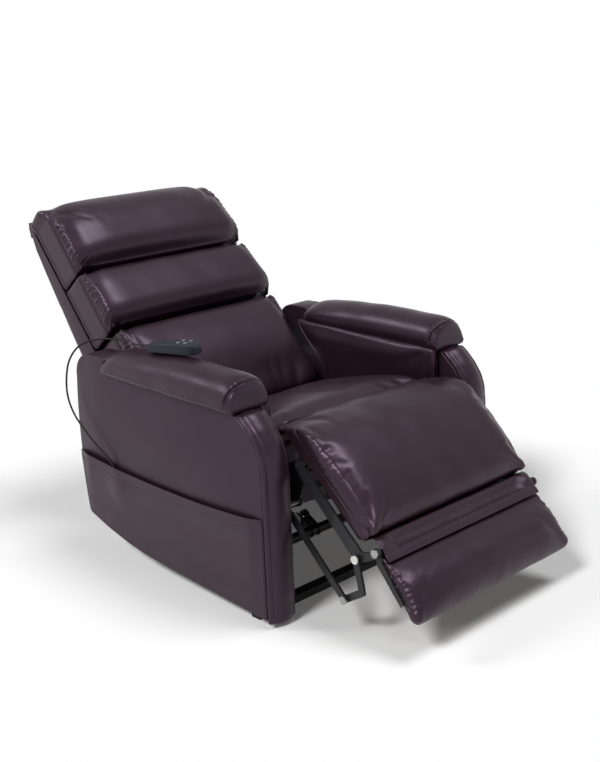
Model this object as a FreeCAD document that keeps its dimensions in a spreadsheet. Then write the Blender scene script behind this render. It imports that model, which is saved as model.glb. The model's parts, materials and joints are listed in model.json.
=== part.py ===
import FreeCAD, Part
import math
import os
import re

import Sketcher
from FreeCAD import Placement, Rotation, Vector

# Lift recliner chair, in millimetres and degrees.
# It faces -Y, +Z is up, and the origin is the middle of the underside of the
# front floor tube. The pose is the one it is seen in: seat down, back reclined,
# footrest half raised.

SIZES = {
    # Overall arm and seat widths, each from the middle of the chair
    "arm_outer_x": 400,
    "arm_inner_x": 320,
    "seat_half_width": 276,
    "arm_front_y": -82,
    "arm_rear_y": 671,
    # Arm shells and their covers
    "arm_wall": 10,
    "arm_bottom_front_z": 22,
    "arm_bottom_rear_z": 104,
    "arm_front_bend_radius": 150,
    "arm_front_bend_angle": 50,
    "arm_front_bend_z": 383,
    "arm_pad_bottom_z": 516,
    "arm_pad_top_z": 600,
    "arm_pad_front_y": -8,
    "arm_pad_rear_y": 533,
    "arm_pad_half_width": 64,
    "arm_pad_centre_x": 353,
    "arm_hump_top_z": 556,
    "arm_hump_round": 16,
    "arm_corner": 70,
    "arm_rear_lean": 16,
    "arm_waist_z": 320,
    "arm_belly_y": 500,
    "arm_low_y": 310,
    "band_depth": 18,
    "band_crown": 6,
    "band_round": 5,
    "band_bottom_z": 11,
    "inner_pad_face_x": 283,
    "inner_pad_front_y": 22,
    "inner_pad_rear_y": 495,
    "inner_pad_bottom_z": 338,
    "inner_pad_round": 5,
    "pocket_top_front_z": 262,
    "pocket_sag": 12,
    "pocket_depth": 13,
    "pocket_skin": 2,
    # Floor frame
    "tube_height": 20,
    "tube_depth": 30,
    "tube_wall": 2,
    "floor_half_width": 383,
    "floor_rear_y": 615,
    "floor_rail_x": 290,
    "floor_rail_width": 24,
    "cap_thickness": 4,
    # Steel plate, pins and their fits
    "plate": 6,
    "lift_bar": 8,
    "pin_radius": 6,
    "head_radius": 10,
    "head_thickness": 4,
    "washer": 3,
    "small_hub": 12,
    "large_hub": 20,
    "post_hub": 26,
    "running_clearance": 0.05,
    "fit_gap": 0.3,
    "open_pivot_clearance": 1.2,
    "side_gap": 1.5,
    # Planes of the plates, each by its inner face
    "side_plate_x": 258,
    "rear_arm_x": 268,
    "front_arm_x": 278,
    "leg_rail_x": 286,
    "lower_link_x": 293.5,
    "upper_link_x": 301,
    "plate_neck_y": 34,
    "plate_neck_low_z": 312,
    "plate_neck_top_z": 346,
    "plate_post_low_z": 206,
    "plate_post_front_z": 240,
    "plate_rail_front_y": 40,
    "plate_rail_front_z": 236,
    "plate_rail_rear_y": 440,
    "plate_rail_rear_z": 190,
    # Lift linkage pivots
    "lift_rear_base_y": 200,
    "lift_rear_base_z": 45,
    "lift_rear_chair_y": 510,
    "lift_rear_chair_z": 122,
    "lift_front_base_y": 230,
    "lift_front_base_z": 75,
    "lift_front_chair_y": 598,
    "lift_front_chair_z": 180,
    "lift_arm_width": 32,
    "torque_tube_radius": 14,
    "lug_radius": 17,
    "lug_gap": 9.5,
    "lift_lug_slack": 6.4,
    # Seat
    "seat_front_z": 448,
    "seat_rear_z": 357,
    "seat_front_y": 45,
    "seat_rear_y": 429,
    "seat_thickness": 118,
    "seat_end_y": 485,
    "lumbar_reach": 114,
    "lumbar_gap": 3,
    "seat_crown": 14,
    "deck_thickness": 12,
    "edge_fall": 4,
    "roll_top_angle": 77,
    "roll_low_angle": 20,
    "roll_depth": 50,
    "rail_board": 18,
    "bracket_front_y": 60,
    "bracket_front_z": 272,
    "bracket_rear_y": 400,
    "bracket_rear_z": 212,
    "bracket_long": 30,
    "bracket_high": 26,
    "bracket_steel": 5,
    "front_rail_y": 10,
    "front_rail_bottom_z": 240,
    "front_rail_top_z": 316,
    "cross_tube_radius": 12.5,
    "front_tube_y": 120,
    "front_tube_z": 245,
    "rear_tube_y": 545,
    "rear_tube_z": 152,
    "rear_panel_y": 655,
    "rear_panel_thick": 8,
    "rear_panel_low_z": 116,
    "rear_panel_top_z": 335,
    "control_box_x": 60,
    "control_box_wide": 140,
    "control_box_deep": 110,
    "control_box_high": 44,
    # Back, in a frame at its hinge with +Z up the back
    "back_hinge_y": 545,
    "back_hinge_z": 372,
    "back_tilt": 40,
    "back_half_width": 290,
    "lumbar_half_width": 275,
    "back_top": 657,
    "upper_channel": 427,
    "lower_channel": 234,
    "channel_front": 66,
    "fold_front": 77,
    "cushion_rear": 59.7,
    "pad_crown": 8,
    "crest_front": 4,
    "crest_fall": 13,
    "brow_front": 70,
    "brow_drop": 92,
    "brow_rise": 12,
    "forehead_drop": 40,
    "head_bulge": 74,
    "middle_bulge": 84,
    "lumbar_bulge": 86,
    "lumbar_belly": 100,
    "knee_front": 84,
    "knee_low": 72,
    "toe_front": 52,
    "toe_low": 100,
    "notch_low_y": 46,
    "notch_low_z": 30,
    "notch_high_z": 50,
    "lumbar_ledge": 110,
    "hinge_notch": 54,
    "shell_top": 662,
    "shell_bottom": 180,
    "shell_rear_top": 92,
    "shell_rear_bottom": 143,
    "shell_front": 60,
    "shell_wall": 8,
    "shell_round": 18,
    "back_tube": 25,
    "back_tube_x": 224.7,
    "back_tube_y": 60,
    "back_frame_low": 80,
    "back_frame_high": 600,
    "back_rail_low": 200,
    "back_rail_middle": 392,
    "back_bracket_hub": 25,
    "back_lever_width": 28,
    "back_bracket_x": 250,
    "drive_tube_y": 557,
    "drive_tube_z": 232,
    "drive_tube_radius": 10,
    "recline_lug_y": 550,
    "recline_lug_z": 187,
    "recline_lug_radius": 17,
    "recline_lug_slack": 6.6,
    # Footrest, in a frame at its hinge with -Y down the calf
    "leg_hinge_y": -68,
    "leg_hinge_z": 385,
    "leg_tilt": 41,
    "leg_half_width": 281,
    "calf_length": 255,
    "calf_underside": 14,
    "calf_top": 93,
    "calf_toe": 59,
    "calf_toe_belly": 67,
    "calf_board_start": 29,
    "leg_end_radius": 85,
    "shoulder_angle": 36.9,
    "rail_width": 26,
    "leg_bar_first": 72,
    "leg_bar_second": 172,
    "foot_hinge_along": 285,
    "foot_hinge_up": 49,
    "foot_tilt": 8,
    "foot_long": 177,
    "foot_heel_along": 38,
    "foot_hub": 11,
    "foot_arm_hub": 9,
    "foot_arm_long": 130,
    "foot_crown": 16,
    "foot_half_width": 278.5,
    "foot_arm_x": 279,
    "foot_underside": 22,
    "foot_board_thickness": 10,
    "foot_board_end": 160,
    "flap_reach": 34,
    "flap_reach_outer": 8.3,
    "flap_reach_inner": 6,
    "flap_bend": 16,
    "flap_bend_outer": 8,
    "flap_bend_under": 15,
    "flap_bend_inner": 5.6,
    "flap_crest": 4,
    "flap_crest_outer": 17,
    "flap_crest_inner": 14.4,
    "flap_rise": 21,
    "flap_rise_outer": 14,
    "flap_rise_under": 20,
    "flap_rise_inner": 11.6,
    "flap_hem": 29.9,
    "flap_hem_outer": 9.6,
    "flap_hem_under": 30.9,
    "flap_hem_inner": 6.9,
    "foot_rail_wide": 22,
    "foot_rail_long": 82,
    "foot_rail_high": 8,
    "board_clearance": 9,
    "calf_board_long": 286,
    "link_bend_y": -51,
    "link_bend_z": 31.4,
    "link_open_clearance": 0.6,
    "link_pin_radius": 5,
    "link_width": 18,
    "rail_pivot_along": 262,
    "rail_pivot_down": 10,
    "upper_link_chair_y": -35,
    "upper_link_chair_z": 276,
    # Actuators
    "motor_body_radius": 21,
    "motor_rod_radius": 9,
    "motor_ear_gap": 9.5,
    "motor_ear": 14,
    "motor_eye_radius": 13,
    "motor_sleeve_radius": 16,
    "sleeve_short": 120,
    "rod_long": 235,
    "rod_eye_radius": 11,
    "gearbox_start": 28,
    "gearbox_long": 62,
    "gearbox_wide": 66,
    "gearbox_high": 36,
    "motor_can_long": 100,
    "motor_can_offset": 39,
    "lift_motor_base_y": 640,
    "lift_motor_base_z": 42,
    "lift_lug_y": 247,
    "lift_lug_z": 70,
    "recline_motor_y": 150,
    "recline_motor_z": 160,
    # Handset and its cord
    "handset_length": 150,
    "handset_width": 52,
    "handset_height": 27,
    "handset_tail_width": 34,
    "handset_tail_height": 20,
    "handset_nose_height": 14,
    "handset_top_round": 5,
    "handset_foot_round": 3,
    "handset_exit_z": 12,
    "key_start": 32,
    "handset_x": 339.5,
    "handset_y": 304.5,
    "handset_z": 600.5,
    "handset_turn": 13.75,
    "handset_tip": 3.5,
    "relief_length": 14,
    "relief_radius": 5,
    "button_pitch": 22,
    "button_stem": 3,
    "button_proud": 2.4,
    "button_travel": 1.2,
    "button_radius": 5,
    "cord_diameter": 5,
    "cord_first_run": 34,
    "boot_wide": 9,
    "boot_deep": 12,
    "boot_high": 24,
}

# Corners of the cord's route after it has left the handset
CORD_ROUTE = [(-345, 478, 597), (-318, 530, 588), (-321, 586, 583), (-348, 632, 581), (-388, 657, 571),
              (-415, 672, 532), (-421, 683, 480), (-421, 686, 428), (-420, 664, 384), (-420, 620, 350),
              (-419, 572, 318), (-411, 530, 290), (-405.8, 505, 252), (-405.8, 500, 214)]

doc = FreeCAD.newDocument("lift_recliner_chair")
sheet = doc.addObject("Spreadsheet::Sheet", "sizes")
for number, (alias, value) in enumerate(SIZES.items(), start=1):
    sheet.set("A%d" % number, alias)
    sheet.set("B%d" % number, str(value))
    sheet.setAlias("B%d" % number, alias)
doc.recompute()

WORD = re.compile(r"[a-z_]+")
X_AXIS = Vector(1, 0, 0)
nodes = []


class Sheet:
    """Reads a size of the sheet by its alias."""

    def __getattr__(self, alias):
        return float(sheet.get(alias))


size = Sheet()


def bound(text):
    """An expression on the sheet from words that are aliases."""
    return WORD.sub(lambda m: "sizes." + m.group() if m.group() in SIZES else m.group(), str(text))


def bind(thing, **paths):
    for path, text in paths.items():
        thing.setExpression(path.replace("__", "."), bound(text))
    return thing


def place(thing, x, y, z):
    """Binds the place of a primitive to the sheet."""
    for axis, text in zip("xyz", (x, y, z)):
        thing.setExpression("Placement.Base." + axis, bound(text))
    return thing


def block(name, x, y, z):
    """A box between pairs of bounds along X, Y and Z."""
    box = doc.addObject("Part::Box", name)
    lengths = ["(%s) - (%s)" % (high, low) for low, high in (x, y, z)]
    bind(box, Length=lengths[0], Width=lengths[1], Height=lengths[2])
    return place(box, x[0], y[0], z[0])


def rod(name, radius, x, y, z):
    """A cylinder along X between two bounds, at y and z."""
    bar = doc.addObject("Part::Cylinder", name)
    bar.Placement = Placement(Vector(), Rotation(Vector(0, 1, 0), 90))
    bind(bar, Radius=radius, Height="(%s) - (%s)" % (x[1], x[0]))
    return place(bar, x[0], y, z)


def joined(name, parts):
    whole = doc.addObject("Part::MultiFuse", name)
    whole.Shapes = parts
    return whole


def cut(name, base, tool):
    rest = doc.addObject("Part::Cut", name)
    rest.Base = base
    rest.Tool = tool
    return rest


def grouped(name, parts):
    """Separate solids that share one node."""
    group = doc.addObject("Part::Compound", name)
    group.Links = parts
    return group


def node(thing, label):
    """Marks a document object as a sub-part."""
    thing.Label = label
    nodes.append(thing)
    return thing


def solid(label, shape, placement=None):
    """A sub-part whose form is worked out in code."""
    thing = doc.addObject("Part::Feature", label + "_form")
    thing.Shape = shape
    if placement:
        thing.Placement = placement
    return node(thing, label)


def sketch_on(body, number):
    plane = next(p for p in body.Origin.OriginFeatures if p.Role == "YZ_Plane")
    sketch = body.newObject("Sketcher::SketchObject", "%s_sketch%d" % (body.Name, number))
    sketch.AttachmentSupport = (plane, "")
    sketch.MapMode = "FlatFace"
    return sketch


def draw_outline(sketch, points):
    """A closed outline whose corners are bound to the sheet."""
    count = len(points)
    for index in range(count):
        start = Vector(index, index * index, 0)
        end = Vector(index + 1, (index + 1) ** 2, 0)
        sketch.addGeometry(Part.LineSegment(start, end), False)
    for index in range(count):
        sketch.addConstraint(Sketcher.Constraint("Coincident", index, 2, (index + 1) % count, 1))
    for index, (y, z) in enumerate(points):
        for kind, text in (("DistanceX", y), ("DistanceY", z)):
            number = sketch.addConstraint(Sketcher.Constraint(kind, index, 1, 1.0))
            sketch.setExpression("Constraints[%d]" % number, bound(text))


def draw_circles(sketch, circles):
    for index, (y, z, radius) in enumerate(circles):
        sketch.addGeometry(Part.Circle(Vector(40 * index, 0, 0), Vector(0, 0, 1), 5 + index), False)
        for kind, spot, text in (("DistanceX", 3, y), ("DistanceY", 3, z), ("Radius", None, radius)):
            if spot is None:
                made = Sketcher.Constraint(kind, index, 5.0)
            else:
                made = Sketcher.Constraint(kind, index, spot, 1.0)
            number = sketch.addConstraint(made)
            sketch.setExpression("Constraints[%d]" % number, bound(text))


def plate_body(name, outline, hubs, holes, thickness):
    """A flat steel piece: an outline and round hubs, padded along +X, then its holes."""
    body = doc.addObject("PartDesign::Body", name)
    drawings = [(outline, draw_outline)] if outline else []
    drawings += [([hub], draw_circles) for hub in hubs]
    for number, (shape, draw) in enumerate(drawings):
        sketch = sketch_on(body, number)
        draw(sketch, shape)
        pad = body.newObject("PartDesign::Pad", "%s_pad%d" % (name, number))
        pad.Profile = sketch
        bind(pad, Length=thickness)
        sketch.Visibility = False
    doc.recompute()
    before = body.Shape.Volume
    sketch = sketch_on(body, 90)
    draw_circles(sketch, holes)
    pocket = body.newObject("PartDesign::Pocket", name + "_holes")
    pocket.Profile = sketch
    pocket.Type = "ThroughAll"
    pocket.Reversed = True
    doc.recompute()
    if not body.Shape.Volume < before:
        raise RuntimeError(name + ": the holes cut nothing")
    return body


def set_body(body, x, y=0, z=0, angle=0):
    """Puts a plate at its plane; y and z are numbers worked out from the sheet."""
    body.Placement = Placement(Vector(0, y, z), Rotation(X_AXIS, angle))
    body.setExpression("Placement.Base.x", bound(x))
    return body


def bar_body(name, length, rise, start, width, thickness, x, hole_start, hole_end):
    """A flat bar with round ends; length is an expression and rise is in degrees."""
    half = "(%s) / 2" % width
    outline = [("0", "-" + half), (length, "-" + half), (length, half), ("0", half)]
    hubs = [("0", "0", half), (length, "0", half)]
    holes = [(spot, "0", radius) for spot, radius in (("0", hole_start), (length, hole_end)) if radius]
    body = plate_body(name, outline, hubs, holes, thickness)
    return set_body(body, x, start[0], start[1], rise)


def link_bar(name, start, end, width, thickness, x, hole_start, hole_end):
    """A flat bar between two pivots of the sheet; start and end are (y, z) aliases."""
    length = "sqrt((%s - %s)^2 + (%s - %s)^2)" % (end[0], start[0], end[1], start[1])
    low, high = spot_of(start), spot_of(end)
    rise = math.degrees(math.atan2(high[1] - low[1], high[0] - low[0]))
    return bar_body(name, length, rise, low, width, thickness, x, hole_start, hole_end)


def spot_bar(name, start, end, x, hole_start, hole_end):
    """A link of the footrest between two worked out points."""
    run = end - start
    rise = math.degrees(math.atan2(run.z, run.y))
    return bar_body(name, "%.9f" % run.Length, rise, (start.y, start.z), "link_width", "plate", x, hole_start,
                    hole_end)


def spot_of(aliases):
    """The numbers behind a pair of aliases."""
    return tuple(getattr(size, alias) for alias in aliases)


def pin_pair(label, y, z, inner, outer, radius="pin_radius"):
    """A headed pin on each side of the chair, its head outside."""
    parts = []
    for side, sign in (("right", -1), ("left", 1)):
        low, high = (inner, outer) if sign > 0 else ("-(%s)" % outer, "-(%s)" % inner)
        head = ("%s" % high, "%s + head_thickness" % high) if sign > 0 else ("%s - head_thickness" % low, low)
        shank = rod("%s_shank_%s" % (label, side), radius, (low, high), y, z)
        cap = rod("%s_head_%s" % (label, side), "head_radius", head, y, z)
        parts.append(joined("%s_%s" % (label, side), [shank, cap]))
    return parts


def arc(a, b, c):
    return Part.Arc(a, b, c).toShape()


def line(a, b):
    return Part.LineSegment(a, b).toShape()


def back_place():
    return Placement(Vector(0, size.back_hinge_y, size.back_hinge_z), Rotation(X_AXIS, -size.back_tilt))


def leg_place():
    return Placement(Vector(0, size.leg_hinge_y, size.leg_hinge_z), Rotation(X_AXIS, size.leg_tilt))


def foot_place():
    local = Placement(Vector(0, -size.foot_hinge_along, size.foot_hinge_up), Rotation(X_AXIS, size.foot_tilt))
    return leg_place().multiply(local)


def export_all():
    doc.recompute()
    faults = []
    for thing in doc.Objects:
        if "Invalid" in thing.State or "Error" in thing.State:
            faults.append(thing.Name)
    for thing in nodes:
        if thing.Shape.isNull() or not thing.Shape.isValid():
            faults.append(thing.Label)
    if faults:
        raise RuntimeError("these did not build: " + ", ".join(faults))
    os.makedirs("parts", exist_ok=True)
    for thing in nodes:
        thing.Shape.exportStep("parts/%s.step" % thing.Label)
    print(len(nodes), "sub-parts written")


# Floor frame: two cross tubes and two rails, with the uprights of the lift arms
def rect_tube(name, x, y, z):
    """A box tube along X, open at both ends."""
    outer = block(name + "_outer", x, y, z)
    inner = block(name + "_bore", x, ("%s + tube_wall" % y[0], "%s - tube_wall" % y[1]),
                  ("%s + tube_wall" % z[0], "%s - tube_wall" % z[1]))
    return cut(name, outer, inner)


def floor_frame():
    half = "(floor_half_width - cap_thickness)"
    rail_end = "(floor_rail_x + floor_rail_width)"
    front = ("-tube_depth / 2", "tube_depth / 2")
    rear = ("floor_rear_y - tube_depth / 2", "floor_rear_y + tube_depth / 2")
    height = ("0", "tube_height")
    parts = [rect_tube("front_floor_tube", ("-" + half, half), front, height)]
    parts.append(rect_tube("rear_floor_tube", ("-" + rail_end, rail_end), rear, height))
    run = (front[1], rear[0])
    for side, x in (("left", ("floor_rail_x", rail_end)), ("right", ("-" + rail_end, "-floor_rail_x"))):
        parts.append(block("floor_rail_" + side, x, run, height))
    for side, x in (("left", ("motor_ear_gap", "motor_ear_gap + plate")),
                    ("right", ("-motor_ear_gap - plate", "-motor_ear_gap"))):
        ear_y = ("floor_rear_y + washer", "lift_motor_base_y + motor_ear")
        ear = block("motor_ear_" + side, x, ear_y, ("tube_height", "lift_motor_base_z + motor_ear"))
        bore = rod("motor_ear_bore_" + side, "pin_radius + running_clearance", x,
                   "lift_motor_base_y", "lift_motor_base_z")
        parts.append(cut("motor_ear_drilled_" + side, ear, bore))
    node(joined("floor_frame_solid", parts), "floor_frame")


def floor_caps():
    """Plastic caps that close the ends of the front floor tube."""
    parts = []
    for side, low, high in (("left", "floor_half_width - cap_thickness", "floor_half_width"),
                            ("right", "-floor_half_width", "cap_thickness - floor_half_width")):
        face = block("cap_face_" + side, (low, high), ("-tube_depth / 2", "tube_depth / 2"),
                     ("0", "tube_height"))
        plug_long = " 3 * cap_thickness"
        plug_x = (low + " -" + plug_long, low) if side == "left" else (high, high + " +" + plug_long)
        plug = block("cap_plug_" + side, plug_x,
                     ("tube_wall - tube_depth / 2", "tube_depth / 2 - tube_wall"),
                     ("tube_wall", "tube_height - tube_wall"))
        parts.append(joined("cap_" + side, [face, plug]))
    node(grouped("floor_caps_group", parts), "floor_end_caps")


def floor_uprights():
    half = "lift_arm_width / 2"
    outline = [("lift_rear_base_y - lift_arm_width", "tube_height"),
               ("lift_front_base_y + lift_arm_width", "tube_height"),
               ("lift_front_base_y + %s" % half, "lift_front_base_z"),
               ("lift_front_base_y - %s" % half, "lift_front_base_z"),
               ("lift_rear_base_y - %s" % half, "lift_rear_base_z")]
    hubs = [("lift_rear_base_y", "lift_rear_base_z", half), ("lift_front_base_y", "lift_front_base_z", half)]
    holes = [(y, z, "pin_radius + running_clearance") for y, z, _ in hubs]
    plates = []
    for side, x in (("left", "floor_rail_x"), ("right", "-floor_rail_x - plate")):
        body = plate_body("floor_upright_%s_plate" % side, outline, hubs, holes, "plate")
        plates.append(set_body(body, x))
    node(grouped("floor_uprights_group", plates), "floor_uprights")
    pins = pin_pair("rear_base_pin", "lift_rear_base_y", "lift_rear_base_z", "rear_arm_x + fit_gap",
                    "floor_rail_x + plate")
    pins += pin_pair("front_base_pin", "lift_front_base_y", "lift_front_base_z", "front_arm_x",
                     "floor_rail_x + plate")
    node(grouped("lift_base_pins_group", pins), "lift_base_pins")


# Lift arms
def lift_arms():
    turning = "pin_radius + running_clearance"
    rear = (("lift_rear_base_y", "lift_rear_base_z"), ("lift_rear_chair_y", "lift_rear_chair_z"))
    front = (("lift_front_base_y", "lift_front_base_z"), ("lift_front_chair_y", "lift_front_chair_z"))
    parts = []
    for side, x in (("left", "rear_arm_x"), ("right", "-rear_arm_x - plate")):
        parts.append(link_bar("rear_lift_bar_" + side, *rear, "lift_arm_width", "plate", x, turning, turning))
    parts.append(rod("torque_tube", "torque_tube_radius", ("-rear_arm_x", "rear_arm_x"), *rear[0]))
    for side, x in (("left", "lug_gap"), ("right", "-lug_gap - plate")):
        parts.append(link_bar("lift_lug_" + side, rear[0], ("lift_lug_y", "lift_lug_z"), "2 * lug_radius",
                              "plate", x, None, "pin_radius + lift_lug_slack"))
    node(joined("rear_lift_arms_solid", parts), "rear_lift_arms")
    bars = []
    for side, x in (("left", "front_arm_x"), ("right", "-front_arm_x - lift_bar")):
        bars.append(link_bar("front_lift_bar_" + side, *front, "lift_arm_width", "lift_bar", x, turning,
                             "pin_radius + open_pivot_clearance"))
    node(grouped("front_lift_arms_group", bars), "front_lift_arms")


# Chair frame: side plates, cross tubes, front rail, deck and arm brackets
def side_plates():
    """One plate on each side: a nose at the leg hinge, a long rail, and a post at the back hinge."""
    outline = [("leg_hinge_y - 0.75 * small_hub", "leg_hinge_z - 0.7 * small_hub"),
               ("leg_hinge_y + 0.7 * small_hub", "leg_hinge_z + 0.75 * small_hub"),
               ("plate_neck_y", "plate_neck_top_z"), ("plate_neck_y + 2", "plate_neck_low_z"),
               ("back_hinge_y - 2 * post_hub", "plate_post_low_z"),
               ("back_hinge_y - post_hub", "plate_post_front_z"),
               ("back_hinge_y - post_hub", "back_hinge_z"), ("back_hinge_y + post_hub", "back_hinge_z"),
               ("back_hinge_y + 1.3 * post_hub", "plate_post_front_z - 10"),
               ("lift_front_chair_y + large_hub", "lift_front_chair_z"),
               ("lift_front_chair_y", "lift_front_chair_z - large_hub"),
               ("lift_rear_chair_y + 0.7 * large_hub", "lift_rear_chair_z - 0.7 * large_hub"),
               ("lift_rear_chair_y - 0.9 * large_hub", "lift_rear_chair_z"),
               ("plate_rail_rear_y", "plate_rail_rear_z"),
               ("plate_rail_front_y", "plate_rail_front_z"),
               ("upper_link_chair_y - small_hub / 2", "upper_link_chair_z - 0.9 * small_hub"),
               ("upper_link_chair_y - 0.8 * small_hub", "upper_link_chair_z + 1.2 * small_hub")]
    turning = "pin_radius + running_clearance"
    hubs = [("leg_hinge_y", "leg_hinge_z", "small_hub"), ("back_hinge_y", "back_hinge_z", "post_hub"),
            ("lift_rear_chair_y", "lift_rear_chair_z", "large_hub"),
            ("lift_front_chair_y", "lift_front_chair_z", "large_hub"),
            ("upper_link_chair_y", "upper_link_chair_z", "small_hub")]
    holes = [(y, z, turning) for y, z, _ in hubs]
    plates = []
    for side, x in (("left", "side_plate_x"), ("right", "-side_plate_x - plate")):
        body = plate_body("side_plate_%s_plate" % side, outline, hubs, holes, "plate")
        plates.append(set_body(body, x))
    node(grouped("side_plates_group", plates), "side_plates")


def inner_pins(label, y, z, outer):
    """A pin on each side with its head against the inner face of the side plate."""
    parts = []
    for side, sign in (("left", 1), ("right", -1)):
        shank_x = ("side_plate_x", outer) if sign > 0 else ("-(%s)" % outer, "-side_plate_x")
        head_x = ("side_plate_x - head_thickness", "side_plate_x") if sign > 0 else \
            ("-side_plate_x", "head_thickness - side_plate_x")
        shank = rod("%s_shank_%s" % (label, side), "pin_radius", shank_x, y, z)
        head = rod("%s_head_%s" % (label, side), "head_radius", head_x, y, z)
        parts.append(joined("%s_%s" % (label, side), [shank, head]))
    return parts


def chair_pins():
    pins = inner_pins("rear_chair_pin", "lift_rear_chair_y", "lift_rear_chair_z", "rear_arm_x + plate")
    pins += inner_pins("front_chair_pin", "lift_front_chair_y", "lift_front_chair_z", "front_arm_x + lift_bar")
    pins += inner_pins("leg_hinge_pin", "leg_hinge_y", "leg_hinge_z", "leg_rail_x + plate")
    pins += inner_pins("upper_link_pin", "upper_link_chair_y", "upper_link_chair_z", "upper_link_x + plate")
    pins += pin_pair("back_hinge_pin", "back_hinge_y", "back_hinge_z", "back_bracket_x", "side_plate_x + plate")
    node(grouped("side_plate_pins_group", pins), "side_plate_pins")


def cross_tubes():
    span = ("-side_plate_x", "side_plate_x")
    tubes = []
    for label, y, z in (("front_cross_tube", "front_tube_y", "front_tube_z"),
                        ("rear_cross_tube", "rear_tube_y", "rear_tube_z")):
        outer = rod(label + "_outer", "cross_tube_radius", span, y, z)
        bore = rod(label + "_bore", "cross_tube_radius - tube_wall", span, y, z)
        tube = cut(label + "_tube", outer, bore)
        if label == "front_cross_tube":
            ears = []
            for side, x in (("left", "motor_ear_gap"), ("right", "-motor_ear_gap - plate")):
                ears.append(link_bar("recline_ear_" + side, (y, z), ("recline_motor_y", "recline_motor_z"),
                                     "2 * motor_ear", "plate", x, None, "pin_radius + running_clearance"))
            tube = joined(label + "_welded", [tube] + ears)
        tubes.append(tube)
    node(grouped("cross_tubes_group", tubes), "cross_tubes")


def seat_frame():
    """The front rail, the brackets that carry the arms, the low rear panel and the control box."""
    inner = "(side_plate_x - fit_gap)"
    node(block("front_rail_board", ("-" + inner, inner), ("front_rail_y", "front_rail_y + rail_board"),
               ("front_rail_bottom_z", "front_rail_top_z")), "front_seat_rail")
    brackets = []
    for spot in ("front", "rear"):
        y, z = "bracket_%s_y" % spot, "bracket_%s_z" % spot
        long, flange = (y, y + " + bracket_long"), (z, z + " + bracket_high")
        for side, x in (("left", ("side_plate_x + plate + fit_gap", "arm_inner_x - fit_gap")),
                        ("right", ("fit_gap - arm_inner_x", "-side_plate_x - plate - fit_gap"))):
            web = block("bracket_web_%s_%s" % (spot, side), x, long, (z, z + " + bracket_steel"))
            low = block("bracket_low_%s_%s" % (spot, side), (x[0], x[0] + " + bracket_steel"), long, flange)
            high = block("bracket_high_%s_%s" % (spot, side), (x[1] + " - bracket_steel", x[1]), long, flange)
            brackets.append(joined("bracket_%s_%s" % (spot, side), [web, low, high]))
    node(grouped("arm_brackets_group", brackets), "arm_brackets")
    panel_x = ("fit_gap - arm_inner_x", "arm_inner_x - fit_gap")
    node(block("rear_panel_board", panel_x, ("rear_panel_y", "rear_panel_y + rear_panel_thick"),
               ("rear_panel_low_z", "rear_panel_top_z")), "rear_panel")
    node(block("control_box_case", ("control_box_x", "control_box_x + control_box_wide"),
               ("rear_tube_y - control_box_deep", "rear_tube_y - cross_tube_radius - fit_gap"),
               ("rear_tube_z - control_box_high / 2", "rear_tube_z + control_box_high / 2")), "control_box")


def seat_slope():
    return (size.seat_rear_z - size.seat_front_z) / (size.seat_rear_y - size.seat_front_y)


def prism(points, low, high):
    """A flat outline in the YZ plane, extruded from low to high along X."""
    corners = [Vector(low, y, z) for y, z in points]
    face = Part.Face(Part.makePolygon(corners + corners[:1]))
    return face.extrude(Vector(high - low, 0, 0))


def loft_across(profiles):
    """A closed solid through (x, edges) profiles."""
    wires = [Part.Wire(edges) for edges in profiles]
    return Part.makeLoft(wires, True, False)


def crowned(half_width, profile):
    """A padded form: the profile is drawn in towards both sides of the chair."""
    shares = (-1, -0.9, -0.6, 0, 0.6, 0.9, 1)
    return loft_across([profile(share * half_width, abs(share) ** 5) for share in shares])


def on_x(x):
    """Makes a point at this x from y and z."""
    return lambda y, z: Vector(x, y, z)


def seat_deck():
    front, rear = size.seat_front_y, size.seat_end_y
    drop = seat_slope() * (rear - front)
    low = size.seat_front_z - size.seat_thickness - size.deck_thickness
    high = low + size.deck_thickness - size.fit_gap
    half = size.side_plate_x - size.fit_gap
    outline = [(front, low), (rear, low + drop), (rear, high + drop), (front, high)]
    solid("seat_deck", prism(outline, -half, half))


def on_circle(y, z, radius, degrees):
    angle = math.radians(degrees)
    return y + radius * math.cos(angle), z + radius * math.sin(angle)


def seat_cushion():
    bottom = size.seat_front_z - size.seat_thickness
    slope = seat_slope()
    reach = size.lumbar_reach + size.lumbar_gap
    rise = size.seat_rear_z - size.back_hinge_z
    top_angle = 180 - math.degrees(math.asin(rise / reach))
    end_drop = math.sqrt(reach ** 2 - (size.back_hinge_y - size.seat_end_y) ** 2)
    end_angle = 180 + math.degrees(math.asin(end_drop / reach))

    def profile(x, drawn):
        p = on_x(x)
        front_low = p(size.seat_front_y, bottom)
        rear_low = p(size.seat_end_y, bottom + slope * (size.seat_end_y - size.seat_front_y))
        rear_up = p(*on_circle(size.back_hinge_y, size.back_hinge_z, reach, end_angle))
        middle = p(*on_circle(size.back_hinge_y, size.back_hinge_z, reach, (end_angle + top_angle) / 2))
        rear_top = p(*on_circle(size.back_hinge_y, size.back_hinge_z, reach, top_angle))
        centre_y = (size.seat_front_y + size.seat_rear_y) / 2
        crown = p(centre_y, (size.seat_front_z + size.seat_rear_z) / 2 + size.seat_crown * (1 - drawn))
        front_top = p(size.seat_front_y, size.seat_front_z - size.edge_fall * drawn)
        return [line(front_low, rear_low), line(rear_low, rear_up), arc(rear_up, middle, rear_top),
                arc(rear_top, crown, front_top), line(front_top, front_low)]

    solid("seat_cushion", crowned(size.seat_half_width, profile))


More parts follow.
